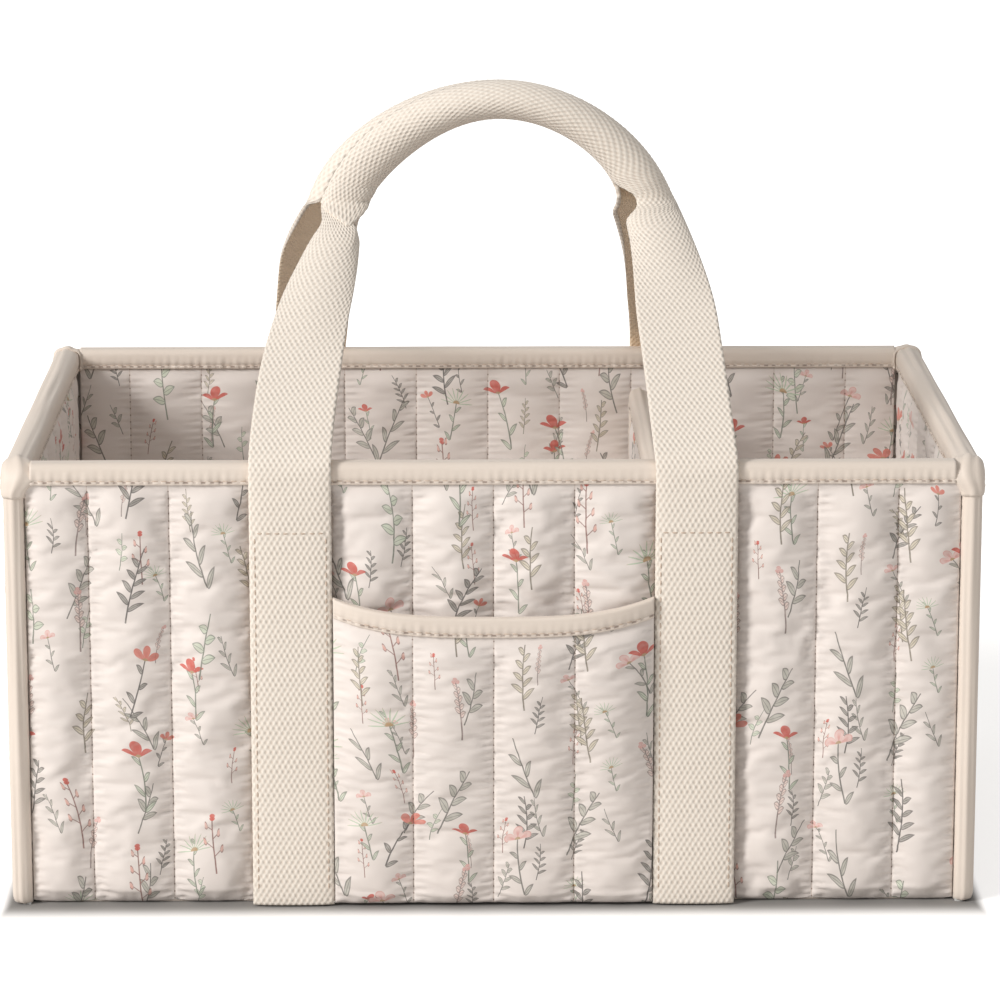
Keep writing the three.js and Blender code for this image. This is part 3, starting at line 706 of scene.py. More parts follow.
def lining_panel(wall, half, margin, first_channel):
    open_half = half - margin if margin else 0

    def base(x, z):
        return mix(LINING_SEAM, WALL_THICKNESS - TAPE_SEAT, under_tapes(x, z, RIM, open_half))

    def full(x, z):
        return LINING_PUFF * (1 - under_tapes(x, z, RIM, open_half))

    columns = quilt_columns(half, margin, LINING_STEPS)[::-1]
    heights = panel_heights(LINING_FOOT, RIM - TAPE_SEAT)
    lining = lay_cloth(
        f"{wall}_lining_panel", columns, heights, quilt(heights, 1, first_channel, base, full),
        LINING_CLOTH, printed_cotton, (first_channel * PITCH, 0), LINING_BACK, WALLS[wall],
    )
    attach(lining, "caddy")
    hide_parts(f"{wall}_lining")


lining_panel("front", LONG_HALF, 0, 74)
lining_panel("back", LONG_HALF, 0, 95)
lining_panel("left", SHORT_HALF - HIDDEN_MARGIN, UPRIGHT_TAPE_SEAT - HIDDEN_MARGIN, 112)
lining_panel("right", SHORT_HALF - HIDDEN_MARGIN, UPRIGHT_TAPE_SEAT - HIDDEN_MARGIN, 133)

PAD_SEAM = 0.0024
PAD_PUFF = 0.0026
PAD_EDGE = 0.007
PAD_SPACING = 0.0024
PAD_CHANNEL = 150
pad_low, pad_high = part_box("base_pad")


def pad_full(x, y):
    return PAD_PUFF * rounded(min(pad_high.y - abs(y), pad_high.x - abs(x)) / PAD_EDGE)


pad_columns = quilt_columns(pad_high.x, 0, LINING_STEPS)
pad_rows = lines(pad_low.y, (pad_high.y, PAD_SPACING))
pad = lay_cloth(
    "floor_pad", pad_columns, pad_rows,
    quilt(pad_rows, -1, PAD_CHANNEL, lambda x, y: PAD_SEAM, pad_full),
    LINING_CLOTH, printed_cotton, (PAD_CHANNEL * PITCH, 0.3), pad_high.z - pad_low.z,
    Matrix.Translation((0, 0, pad_high.z)) @ Matrix.Rotation(-math.pi / 2, 4, "X"),
)
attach(pad, "caddy")
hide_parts("base_pad")


# Sewing thread
# Cream cotton thread. Each stitch is a short arched length that dips into the cloth at both ends, and all
# the stitches of a seam are one piece.
THREAD_COLOUR = (0.66, 0.54, 0.44, 1)
THREAD_SHADE = (0.50, 0.38, 0.29, 1)
STITCH_PITCH = 0.0034
STITCH_LENGTH = 0.0023
THREAD_RADIUS = 0.00034
THREAD_SINK = 0.0004
SEAM_END = 0.002


def mottled_finish(name, roughness, sheen, tones, mottle, relief, height):
    """A finish of two mottled tones with a fine relief. Mottle and relief are each a scale and a detail."""
    finish, surface, place = new_finish(name, roughness, sheen, "Object")
    colour_it(surface, place.speckle(*mottle).blend(*tones))
    raise_it(surface, place.speckle(*relief), height)
    return finish


sewing_thread = mottled_finish(
    "sewing_thread", 0.7, 0.2, (THREAD_COLOUR, THREAD_SHADE), (700, 2.0), (5000, 1.0), 0.00004,
)

bpy.ops.object.select_all(action="DESELECT")
bpy.ops.mesh.primitive_uv_sphere_add(segments=6, ring_count=5, radius=1)
one_stitch = bpy.context.object
one_stitch.data.transform(Matrix.Rotation(math.pi / 2, 4, "Y"))
one_stitch.data.transform(Matrix.Diagonal((STITCH_LENGTH / 2, THREAD_RADIUS, THREAD_RADIUS * 0.9, 1)))


def stitch_places(route, start, end):
    """Where the stitches of a seam lie. Its route gives a point and the way out of the cloth there."""
    places = []
    for k in range(math.ceil(start / STITCH_PITCH), math.floor(end / STITCH_PITCH)):
        middle = (k + 0.5) * STITCH_PITCH
        first, out = route(middle - STITCH_LENGTH / 2)
        second, _ = route(middle + STITCH_LENGTH / 2)
        along = (second - first).normalized()
        aside = out.cross(along).normalized()
        turn = Matrix((along, aside, along.cross(aside))).transposed().to_4x4()
        places.append(Matrix.Translation((first + second) / 2) @ turn)
    return places


def finished_piece(name, shape, finish):
    """An object of a shape that is smooth all over and has one finish."""
    mesh = bpy.data.meshes.new(name)
    shape.to_mesh(mesh)
    shape.free()
    mesh.shade_smooth()
    mesh.materials.append(finish)
    piece = bpy.data.objects.new(name, mesh)
    bpy.context.scene.collection.objects.link(piece)
    return piece


def sew(name, places, body, stand):
    thread = bmesh.new()
    for place in places:
        stitch = one_stitch.data.copy()
        stitch.transform(stand @ place)
        thread.from_mesh(stitch)
        bpy.data.meshes.remove(stitch)
    piece = finished_piece(name, thread, sewing_thread)
    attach(piece, body)


# Binding tape
# Plain cream cotton sateen cut in strips, with both edges turned in, folded over each raw edge and sewn
# through near its turned edge. It draws up a little between the stitches.
TAPE_COLOUR = (0.80, 0.715, 0.635, 1)
TAPE_SHADE = (0.74, 0.64, 0.55, 1)
TAPE_THICKNESS = 0.0009
TAPE_GROOVE = 0.0016
PUCKER = 0.00042
RIM_RADIUS = 0.0031

binding_cotton, surface, cloth = new_finish("binding_cotton", 0.55, 0.15)
u, v, _ = cloth.parts()
stretched = (u * 0.25).with_others(v)
tone = cloth.speckle(30, 3.0) * 0.6 + stretched.speckle(900, 2.0) * 0.4
from_hole = abs((u / STITCH_PITCH + 0.5) % 1 - 0.5) * (STITCH_PITCH * 1000)
uneven = cloth.speckle(260, 2.0)
# Painted shade: dark dashes at the needle holes and a broken dark line along the sewn groove.
groove = abs(v * 1000 - 1.85)
painted_hole_shade = groove.under(0.42, 0.2) * from_hole.under(0.25 + uneven * 1.2, 0.3) * uneven.ramp(0.2, 0.6)
painted_crease_shade = groove.under(0.16, 0.14) * uneven.ramp(0.35, 0.6) * 0.45
painted_groove_shade = (painted_hole_shade * 0.75).maths("MAXIMUM", painted_crease_shade)
colour_it(surface, painted_groove_shade.blend(tone.blend(TAPE_COLOUR, TAPE_SHADE), PAINTED_HOLE_SHADE))
raise_it(surface, cloth.speckle(2400, 1.0), 0.00005)


def folded_section(reach, depth, radius, crown=0.0):
    """The outside of a folded tape, from the turned edge on its front face over the fold to the one behind.
    Each point has its distance from the nearer turned edge, from the fold's top, and from the front face.
    The crown is how far the fold's top rises between its rounded corners."""
    face = [
        (reach - 0.0001, 0.0009), (reach, 0.0004), (reach - 0.0003, 0.00005), (reach - 0.0008, -0.0001),
        (reach - 0.0012, 0.0), (reach - TAPE_GROOVE, 0.00045), (reach - 0.0021, 0.00005),
    ]
    face += [(inward, -0.00015) for inward in steps(reach - 0.0030, radius, 0.0012)]
    for k in range(6):
        angle = math.pi / 2 * k / 6
        face.append((radius - radius * math.sin(angle), radius - radius * math.cos(angle)))
    top = [
        (-crown * math.sin(math.pi * (through - radius) / (depth - 2 * radius)), through)
        for through in steps(radius, depth - radius, 0.0008)
    ]
    behind = [(inward, depth - through) for inward, through in reversed(face)]
    outline = face + top + [(0.0, depth - radius)] + behind
    distances = [0.0]
    for one, other in zip(outline, outline[1:]):
        distances.append(distances[-1] + math.dist(one, other))
    return [(min(far, distances[-1] - far), *spot) for far, spot in zip(distances, outline)]


def drawn_up(s, inward, reach, seed):
    """How far the tape stands off between its stitches: ripples that die away towards the fold."""
    near_seam = smooth(0.0015, reach * 0.8, inward)
    between = -math.cos(2 * math.pi * s / STITCH_PITCH)
    ripple = noise.noise(Vector((s * 330, seed, inward * 60))) + 0.8 * noise.noise(Vector((s * 90, seed, 7)))
    strength = 0.35 + 0.65 * smooth(-0.3, 0.4, noise.noise(Vector((s * 14, seed, 11))))
    return PUCKER * (1.1 * ripple + 0.5 * between) * near_seam * strength


def outward(depth, through):
    """-1 on the front face of a folded tape, 1 on the one behind, and 0 at the middle of the fold."""
    return 2 * through / depth - 1


def rim_tape(wall, seed):
    section = folded_section(TAPE_REACH, WALL_THICKNESS, RIM_RADIUS)
    stations = lines(-LONG_HALF, (LONG_HALF, STITCH_PITCH / 4))

    def place(station, spot):
        x, (_, inward, through) = station[0], spot
        stand_off = drawn_up(x, inward, TAPE_REACH, seed)
        side = outward(WALL_THICKNESS, through)
        lift = 0.00025 * noise.noise(Vector((x * 25, seed, 3)))
        return Vector((x, through + stand_off * side, RIM - inward + lift * (1 - abs(side))))

    tape = lay_cloth(
        f"{wall}_rim_tape", stations, section, place, TAPE_THICKNESS, binding_cotton,
        (seed * 100 * STITCH_PITCH, 0), stand=WALLS[wall],
    )
    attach(tape, "caddy")
    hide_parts(f"{wall}_rim_binding")
    height = RIM - TAPE_REACH + TAPE_GROOVE
    end = LONG_HALF - SEAM_END
    places = []
    for through, way in ((THREAD_SINK, -1), (WALL_THICKNESS - THREAD_SINK, 1)):
        places += stitch_places(lambda x: (Vector((x, through, height)), Vector((0, way, 0))), -end, end)
    sew(f"{wall}_rim_stitches", places, "caddy", WALLS[wall])


rim_tape("front", 1)
rim_tape("back", 2)

# The short walls' tape runs up one edge, round the corner, along the top and down the other edge.
# A short sleeve of the same tape covers each corner, over the ends of the rim's tape.
EDGE_REACH = 0.009
EDGE_FOLD = 0.00045
EDGE_LOWEST = 0.0004
CAP_GROW = 0.0009
CAP_TAPER = 0.003
CAP_DROP = 0.0135
CAP_BACK = 0.011
CAP_CREASE = 0.0003
CAP_FLARE = 0.0033
BAND_CROWN = 0.0008
BAND_FOOT = 0.005
FOOT_TRIM = 0.0017


def edge_route(half, top):
    """A function from the distance along a bound edge to its point and its turn there, and its length."""
    upright = top - CORNER_RADIUS
    quarter = CORNER_RADIUS * math.pi / 2
    length = 2 * (upright + quarter + half - CORNER_RADIUS)

    def at(s):
        if s > length / 2:
            x, z, turn = at(length - s)
            return -x, z, math.pi - turn
        if s < upright:
            return -half, s, 0
        if s < upright + quarter:
            turn = (s - upright) / CORNER_RADIUS
            from_top = CORNER_RADIUS * (1 - math.sin(turn))
            return -half + CORNER_RADIUS * (1 - math.cos(turn)), top - from_top, turn
        return -half + CORNER_RADIUS + s - upright - quarter, top, math.pi / 2

    return at, length


def edge_tape(name, half, top, depth, seed, stand, body, node, first=0.0, last=None, grow=0.0, trim=0.0):
    """Tape folded over an edge with rounded corners, or a part of its length, sewn along its turned edge.
    It is thinner by the trim along the upright edges, where the long walls press on it."""
    at, length = edge_route(half, top)
    last = length if last is None else last
    section = folded_section(
        EDGE_REACH + grow, depth + 2 * grow, min(RIM_RADIUS, depth * 0.32) + grow, BAND_CROWN,
    )
    stations = lines(first, (last, STITCH_PITCH / 3))

    def thickness_share(z, turn):
        flare = CAP_FLARE * abs(math.cos(turn)) if grow else 0
        return mix(1 - trim / depth, 1 + flare / depth, smooth(top - CAP_DROP, top - 0.003, z))

    def place(station, spot):
        s, (_, inward, through) = station[0], spot
        x, z, turn = at(s)
        out = grow * min(1, 0.5 + (s - first) / CAP_TAPER, 0.5 + (last - s) / CAP_TAPER)
        stand_off = drawn_up(s, inward, EDGE_REACH, seed) * outward(depth, through)
        fold = EDGE_FOLD * noise.noise(Vector((s * 18, seed, through * 500)))
        if grow:
            fold += CAP_CREASE * noise.noise(Vector((s * 70, seed, through * 700)))
        foot = 1 - rounded(z / BAND_FOOT)
        inward = inward - out - fold + FOOT_TRIM * foot
        if abs(math.cos(turn)) < 1:
            inward = min(inward, CORNER_RADIUS - 0.0003 + 0.0015 * (1 - abs(math.sin(2 * turn))))
        across = through * thickness_share(z, turn) + FOOT_TRIM * foot * (1 - through / depth)
        return Vector((
            x + inward * math.cos(turn),
            across - out + stand_off,
            max(z - inward * math.sin(turn), EDGE_LOWEST),
        ))

    tape = lay_cloth(
        name, stations, section, place, TAPE_THICKNESS, binding_cotton, (seed * 100 * STITCH_PITCH, 0),
        stand=stand,
    )
    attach(tape, body)
    if node:
        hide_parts(node)

    def seam(through, way):
        def route(s):
            x, z, turn = at(s)
            inward = EDGE_REACH - TAPE_GROOVE
            across = through * thickness_share(z, turn)
            spot = Vector((x + inward * math.cos(turn), across, z - inward * math.sin(turn)))
            return spot, Vector((0, way, 0))

        return route

    if not grow:
        places = stitch_places(seam(THREAD_SINK, -1), SEAM_END, length - SEAM_END)
        places += stitch_places(seam(depth - THREAD_SINK, 1), SEAM_END, length - SEAM_END)
        sew(f"{name}_stitches", places, body, stand)


for wall, seed in (("left", 3), ("right", 4)):
    edge_tape(
        f"{wall}_edge_tape", HALF_DEPTH, RIM, WALL_THICKNESS, seed, WALLS[wall], "caddy",
        f"{wall}_edge_binding", trim=BAND_TRIM,
    )
    route_length = edge_route(HALF_DEPTH, RIM)[1]
    around_corner = RIM - CORNER_RADIUS + CORNER_RADIUS * (math.pi / 2 - 1)
    lower, upper = RIM - CAP_DROP, around_corner + CAP_BACK
    corners = {"one": (lower, upper), "other": (route_length - upper, route_length - lower)}
    for corner, (first, last) in corners.items():
        edge_tape(
            f"{wall}_corner_cap_{corner}", HALF_DEPTH, RIM, WALL_THICKNESS, seed, WALLS[wall], "caddy",
            None, first, last, CAP_GROW, BAND_TRIM,
        )


# Straps, legs and grip
# Two lengths of cotton webbing. Each climbs a long side over a stuffed channel, leaves it at the rim as a
# leg, and curls into half of the grip. Over the middle the two are sewn edge to edge round a foam core.
WEBBING_COLOUR = (0.905, 0.84, 0.75, 1)
WEBBING_SHADE = (0.62, 0.51, 0.42, 1)
WEBBING_INSIDE_PAINTED_LIGHT = (0.97, 0.78, 0.56, 1)
INSIDE_OFFSET = 1.0
WEBBING_THICKNESS = 0.0019
WEBBING_COLUMNS = 28
WEAVE_ACROSS = 2 * 2 * STRAP_HALF / WEBBING_COLUMNS
WEAVE_ALONG = 0.00195
WEAVE_HEIGHT = 0.00015
SELVEDGE_COLUMNS = 2
STRAP_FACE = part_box("front_strap_left")[0].y
STRAP_FOOT = 0.0008
STRAP_DOME = 0.0005
SEWN_EDGE = 0.0006
grip_low, grip_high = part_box("grip_front_web")
MOUTH = grip_low.z
GRIP_HALF_SPAN = 0.06496
GRIP_SWAY = 0.0036
SHOULDER_DROP = 0.116
LEFT_MOUTH_WIDTH = 0.0128
RIGHT_MOUTH_WIDTH = 0.0121
GRIP_MOUTH_DEPTH = 0.0085
GRIP_APEX_WIDTH = 0.0080
GRIP_APEX_DEPTH = 0.0115
GRIP_TWIST = math.radians(60)
GRIP_LAP = math.radians(50)
GRIP_TUCK = math.radians(20)
GRIP_FLARE = math.radians(70)
LEG_NOTCH = math.radians(70)
LEG_NECK = 0.17
LEG_TUCK = 0.25
ARCH_FOOT = MOUTH - 0.012
ARCH_RISE = grip_high.z - GRIP_APEX_WIDTH - ARCH_FOOT
MOUTH_ANGLE = math.asin((MOUTH - ARCH_FOOT) / ARCH_RISE)
LEG_ROUND = 0.005
MOUTH_ROUND = 0.002
BAR_HEIGHT = 0.151
EDGE_SEAM = 0.0022
EDGE_SEAM_FOOT = 0.004
FINE_STEPS = 300

webbing_cotton, surface, cloth = new_finish("webbing_cotton", 0.85, 0.2)
u, v, _ = cloth.parts()
across_turns = u * (2 * math.pi / WEAVE_ACROSS)
along_turns = v * (math.pi / WEAVE_ALONG)
lattice = across_turns.maths("COSINE") * along_turns.maths("COSINE") * 0.5 + 0.5
yarn = (u * 3000 + v * 900).maths("SINE") * 0.5 + 0.5
# Painted shade: the webbing is darker in the gaps between its raised yarns, on top of a mottle at random.
painted_gap_shade = 1 - lattice.maths("MINIMUM", 1.0)
tone = (painted_gap_shade ** 2.2) * 0.55 + cloth.speckle(800, 2.0) * 0.18
colour = tone.blend(WEBBING_COLOUR, WEBBING_SHADE)
# Painted light: the inner face is a warm light tan that stands in for light passing through and bouncing
# between the webbings.
colour_it(surface, ((u > INSIDE_OFFSET / 2) * 0.8).blend(colour, WEBBING_INSIDE_PAINTED_LIGHT))
raise_it(surface, lattice + yarn * 0.16 + cloth.speckle(2500, 1.0) * 0.2, 0.00032)


def arch_station(s, turned):
    """A place along the grip, from 0 at the left mouth to 1 at the right one. The back webbing is laid turned
    half round, so it meets the same grip from the other end."""
    if turned:
        centre, way_out, wide, deep, _ = arch_station(1 - s, False)
        return Vector((-centre.x, 0, centre.z)), Vector((-way_out.x, 0, way_out.z)), wide, deep, s
    along = mix(math.pi - MOUTH_ANGLE, MOUTH_ANGLE, s)
    way_turn = math.pi * (1 - s)
    upright = max(math.sin(way_turn), 0)
    aside = math.cos(along)
    centre = Vector((
        GRIP_HALF_SPAN * aside * (1 - SHOULDER_DROP * (1 - aside * aside)) + GRIP_SWAY * math.sin(along),
        0,
        ARCH_FOOT + ARCH_RISE * math.sin(along),
    ))
    way_out = Vector((math.cos(way_turn), 0, math.sin(way_turn)))
    if s < 0.5:
        wide = mix(LEFT_MOUTH_WIDTH, GRIP_APEX_WIDTH, upright ** 2)
    else:
        wide = mix(RIGHT_MOUTH_WIDTH, GRIP_APEX_WIDTH, upright ** 0.52)
    deep = mix(GRIP_MOUTH_DEPTH, GRIP_APEX_DEPTH, upright ** 2)
    return centre, way_out, wide, deep, s


def seams_round(s, turned):
    """The angles of a webbing's two seams round the grip, from its outside towards its front. At the left
    mouth the front webbing is tucked under the back one. At the right mouth it stands open."""
    outer = GRIP_TWIST * (1 - 2 * smooth(-0.1, 1.1, s))
    if turned:
        return outer, math.pi + GRIP_LAP * smooth(0.94, 1, s), 0
    under = 1 - smooth(0, 0.06, s)
    return outer, math.pi - GRIP_LAP * under - GRIP_FLARE * smooth(0.905, 0.985, s), under


def hidden_depth(angle, inner):
    """How deep the webbing lies under the other one, past the inner seam."""
    return (WEBBING_THICKNESS + 0.0003) * smooth(0, GRIP_TUCK, angle - inner)


def around_grip(station, angle, lift):
    """The point of the grip at a station and an angle, lifted off its surface."""
    centre, way_out, wide, deep, _ = station
    aside = way_out * ((wide + lift) * math.cos(angle))
    return centre + aside - Vector((0, (deep + lift) * math.sin(angle), 0))


def grip_point(s, share, turned):
    """A point of a webbing on the grip, from 0 at its outer edge to 1 at its inner one."""
    outer, inner, under = seams_round(s, turned)
    angle = mix(outer, inner + GRIP_TUCK * under, share)
    return around_grip(arch_station(s, turned), angle, -under * hidden_depth(angle, inner))


def leg_point(side, w, share, turned):
    """A point of a leg, from 0 at the rim to 1 at the grip's mouth. The left leg is rolled in from low down
    and narrows to a neck, and the right one stays open almost up to the mouth."""
    centre, _, wide, deep, s = arch_station(0 if side < 0 else 1, turned)
    outer, inner, under = seams_round(s, turned)
    if side < 0:
        rolled = smooth(0.30, 0.92, w)
        lean = w ** 1.6 * (1 + LEG_TUCK * smooth(0.35, 0.85, w) * smooth(1, 0.9, w))
        wide *= 1 - under * LEG_NECK * smooth(0.60, 0.85, w) * smooth(1, 0.9, w)
        notch = mix(LEG_NOTCH, math.pi - inner - GRIP_TUCK, smooth(0.95, 1, w))
        first = outer * smooth(0.75, 1, w)
        last = math.pi - under * notch * smooth(0.80, 0.95, w)
    else:
        rolled = smooth(0.55, 0.97, w)
        lean = 0.57 * w + 0.43 * w ** 6
        first = outer * smooth(0.955, 1, w)
        last = mix(math.pi, inner, smooth(0.955 if turned else 0.88, 1, w))
    angle = mix(first, last, share)
    inset = under * smooth(0.72, 1, w) * hidden_depth(angle, inner)
    centre_x = mix(side * STRAP_CENTRE, centre.x, lean)
    face_y = mix(STRAP_FACE, -deep, w ** 1.12)
    flat_x = centre_x + side * (1 - 2 * share) * STRAP_HALF
    round_x = centre_x + side * (wide - inset) * math.cos(angle)
    round_y = face_y + deep - (deep - inset) * math.sin(angle)
    return Vector((mix(flat_x, round_x, rolled), mix(face_y, round_y, rolled), mix(RIM, MOUTH, w)))


def strap_point(side, z, share):
    sewn = abs(2 * share - 1) ** 6 * SEWN_EDGE
    dome = STRAP_DOME * (1 - (2 * share - 1) ** 2) * smooth(RIM, RIM - 0.02, z)
    return Vector((side * (STRAP_CENTRE + (1 - 2 * share) * STRAP_HALF), STRAP_FACE + sewn - dome, z))


def webbing_point(p, share, turned):
    """A point of a webbing, from the left strap's foot at 0, by legs and grip, to the right one's at 5."""
    if p < 1:
        return strap_point(-1, mix(STRAP_FOOT, RIM, p), share)
    if p < 2:
        return leg_point(-1, p - 1, share, turned)
    if p <= 3:
        return grip_point(p - 2, share, turned)
    if p <= 4:
        return leg_point(1, 4 - p, share, turned)
    return strap_point(1, mix(STRAP_FOOT, RIM, 5 - p), share)


def even_stations(spacing, turned):
    """Values of p that are evenly spaced along the webbing's middle."""
    fine = [k / FINE_STEPS for k in range(5 * FINE_STEPS + 1)]
    lengths = [0.0]
    for a, b in zip(fine, fine[1:]):
        lengths.append(lengths[-1] + (webbing_point(b, 0.5, turned) - webbing_point(a, 0.5, turned)).length)
    count = round(lengths[-1] / spacing)
    stations, k = [], 0
    for n in range(count + 1):
        goal = lengths[-1] * n / count
        while k < len(fine) - 2 and lengths[k + 1] < goal:
            k += 1
        share = (goal - lengths[k]) / (lengths[k + 1] - lengths[k])
        stations.append((goal, mix(fine[k], fine[k + 1], min(share, 1))))
    return stations


def webbing_rows(shares, stations, turned):
    """The points of a webbing, row by row, with its bends at the rim and the mouths rounded off."""
    rows = [[webbing_point(p, share, turned) for share in shares] for _, p in stations]
    eased = []
    for r, (row, (_, p)) in enumerate(zip(rows, stations)):
        reach = LEG_ROUND if p < 1.6 or p > 3.4 else MOUTH_ROUND
        ease = min(round(reach / (WEAVE_ALONG / 2)), r, len(rows) - 1 - r)
        window = rows[r - ease:r + ease + 1]
        eased.append([sum((line[c] for line in window), Vector()) / len(window) for c in range(len(row))])
    return eased


def weave(rows):
    """The place function of a webbing: its rows' points, raised where a yarn floats over, which is at every
    other crossing, staggered."""
    def woven(column, station):
        r, c = station[1], column[1]
        spot = rows[r][c]
        if r % 2 or (c + r // 2) % 2 or not SELVEDGE_COLUMNS < c < WEBBING_COLUMNS - SELVEDGE_COLUMNS:
            return spot
        next_row, last_row = rows[min(r + 1, len(rows) - 1)], rows[max(r - 1, 0)]
        normal = (rows[r][c + 1] - rows[r][c - 1]).cross(next_row[c] - last_row[c]).normalized()
        return spot + normal * WEAVE_HEIGHT

    return woven


web_shares = [k / WEBBING_COLUMNS for k in range(WEBBING_COLUMNS + 1)]
web_columns = [(share * 2 * STRAP_HALF, k) for k, share in enumerate(web_shares)]
edge_share = EDGE_SEAM / (2 * STRAP_HALF)
bar_and_edges = []
for side in (-1, 1):
    bar_and_edges += stitch_places(
        lambda x: (strap_point(side, BAR_HEIGHT, 0.5 + x / (2 * STRAP_HALF)), Vector((0, -1, 0))),
        -STRAP_HALF + EDGE_SEAM, STRAP_HALF - EDGE_SEAM,
    )
    for share in (edge_share, 1 - edge_share):
        bar_and_edges += stitch_places(
            lambda z: (strap_point(side, z, share), Vector((0, -1, 0))), EDGE_SEAM_FOOT, BAR_HEIGHT - 0.001,
        )
for side, turned, stand in (("front", False, Matrix()), ("back", True, Matrix.Rotation(math.pi, 4, "Z"))):
    sew(f"{side}_strap_stitches", bar_and_edges, "caddy", stand)
    stations = even_stations(WEAVE_ALONG / 2, turned)
    web_lines = [(r * WEAVE_ALONG / 2, r) for r in range(len(stations))]
    webbing = lay_cloth(
        f"{side}_webbing", web_columns, web_lines, weave(webbing_rows(web_shares, stations, turned)),
        WEBBING_THICKNESS, webbing_cotton, stand=stand,
    )
    # The inner face's UVs are moved aside, which is how the finish knows it and paints it a warm light tan:
    # painted light standing in for light that passes through and bounces between the webbings.
    outer_faces = (len(web_columns) - 1) * (len(web_lines) - 1)
    web_uv = webbing.data.uv_layers[0].data
    for face in webbing.data.polygons[outer_faces:2 * outer_faces]:
        for corner in face.loop_indices:
            web_uv[corner].uv.x += INSIDE_OFFSET
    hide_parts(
        f"{side}_strap_left", f"{side}_strap_right", f"{side}_leg_left", f"{side}_leg_right",
        f"grip_{side}_web",
    )
    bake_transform(webbing)

# At the left mouth a pointed end of the over webbing lies on the neck of the leg.
LIP_FIRST = math.radians(56)
LIP_LAST = math.radians(172)
LIP_POINT = 0.54
LIP_DROP = 0.0078
LIP_REACH = 0.015
LIP_LIFT = 0.0012
LIP_SINK = 0.0009
LIP_THICKNESS = 0.0013
LIP_ROWS = 24
ARCH_LENGTH = sum(
    (arch_station((k + 1) / 100, False)[0] - arch_station(k / 100, False)[0]).length for k in range(100)
)


def lip_point(up, share):
    """A point of the pointed end, from its lip at 0 to where it sinks in at 1, and from its outer side to its
    inner one."""
    pointed = 1 - abs(share - LIP_POINT) / (LIP_POINT if share < LIP_POINT else 1 - LIP_POINT)
    along = mix(-LIP_DROP * pointed, LIP_REACH, up)
    centre, way_out, wide, deep, _ = arch_station(max(along, 0) / ARCH_LENGTH, False)
    if along < 0:
        w = 1 + along / (MOUTH - RIM)
        leg_x = mix(-STRAP_CENTRE, centre.x, w ** 1.6)
        centre = Vector((leg_x, mix(STRAP_FACE, -deep, w ** 1.12) + deep, MOUTH + along))
    lift = mix(LIP_LIFT * min(1, 6 * share + 0.2, 6 * (1 - share) + 0.2), -LIP_SINK, smooth(0.3, 1, up))
    return around_grip((centre, way_out, wide, deep, 0), mix(LIP_FIRST, LIP_LAST, share), lift)


lip_rows = [[lip_point(r / LIP_ROWS, share) for share in web_shares] for r in range(LIP_ROWS + 1)]
lip = lay_cloth(
    "mouth_lip", web_columns, [(r * WEAVE_ALONG / 2, r) for r in range(LIP_ROWS + 1)], weave(lip_rows),
    LIP_THICKNESS, webbing_cotton,
)
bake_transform(lip)


# Patch pockets
# A quilted sheet on each long side between the straps, whose seams run on from the wall's. Its mouth dips
# in the middle, stands off the wall, and is bound with the same tape.
POCKET_SIDE = 0.124
POCKET_DIP = 0.006
POCKET_STANDOFF = 0.010
POCKET_SHEET = 0.0018
POCKET_CLOTH = 0.0013
POCKET_PUFF = 0.0040
POCKET_FOOT = 0.0012
POCKET_SEAT = 0.0006
POCKET_SIDE_STANDOFF = 0.0016
POCKET_TAPE_REACH = 0.0078
POCKET_TAPE_DEPTH = 0.0046
POCKET_TAPE_RADIUS = 0.0012
POCKET_TAPE_THICKNESS = 0.0008
POCKET_TAPE_RISE = 0.0013


def pocket_top(x):
    return POCKET_SIDE - POCKET_DIP * (1 - abs(x / POCKET_HALF) ** 3)


def pocket_standoff(x, up):
    rise = smooth(0.0, 0.92, up) ** 0.8
    bow = 1 - abs(x / POCKET_HALF) ** 4
    side = mix(POCKET_SEAT, POCKET_SIDE_STANDOFF, rise)
    return side + (POCKET_STANDOFF - POCKET_SIDE_STANDOFF) * rise * bow


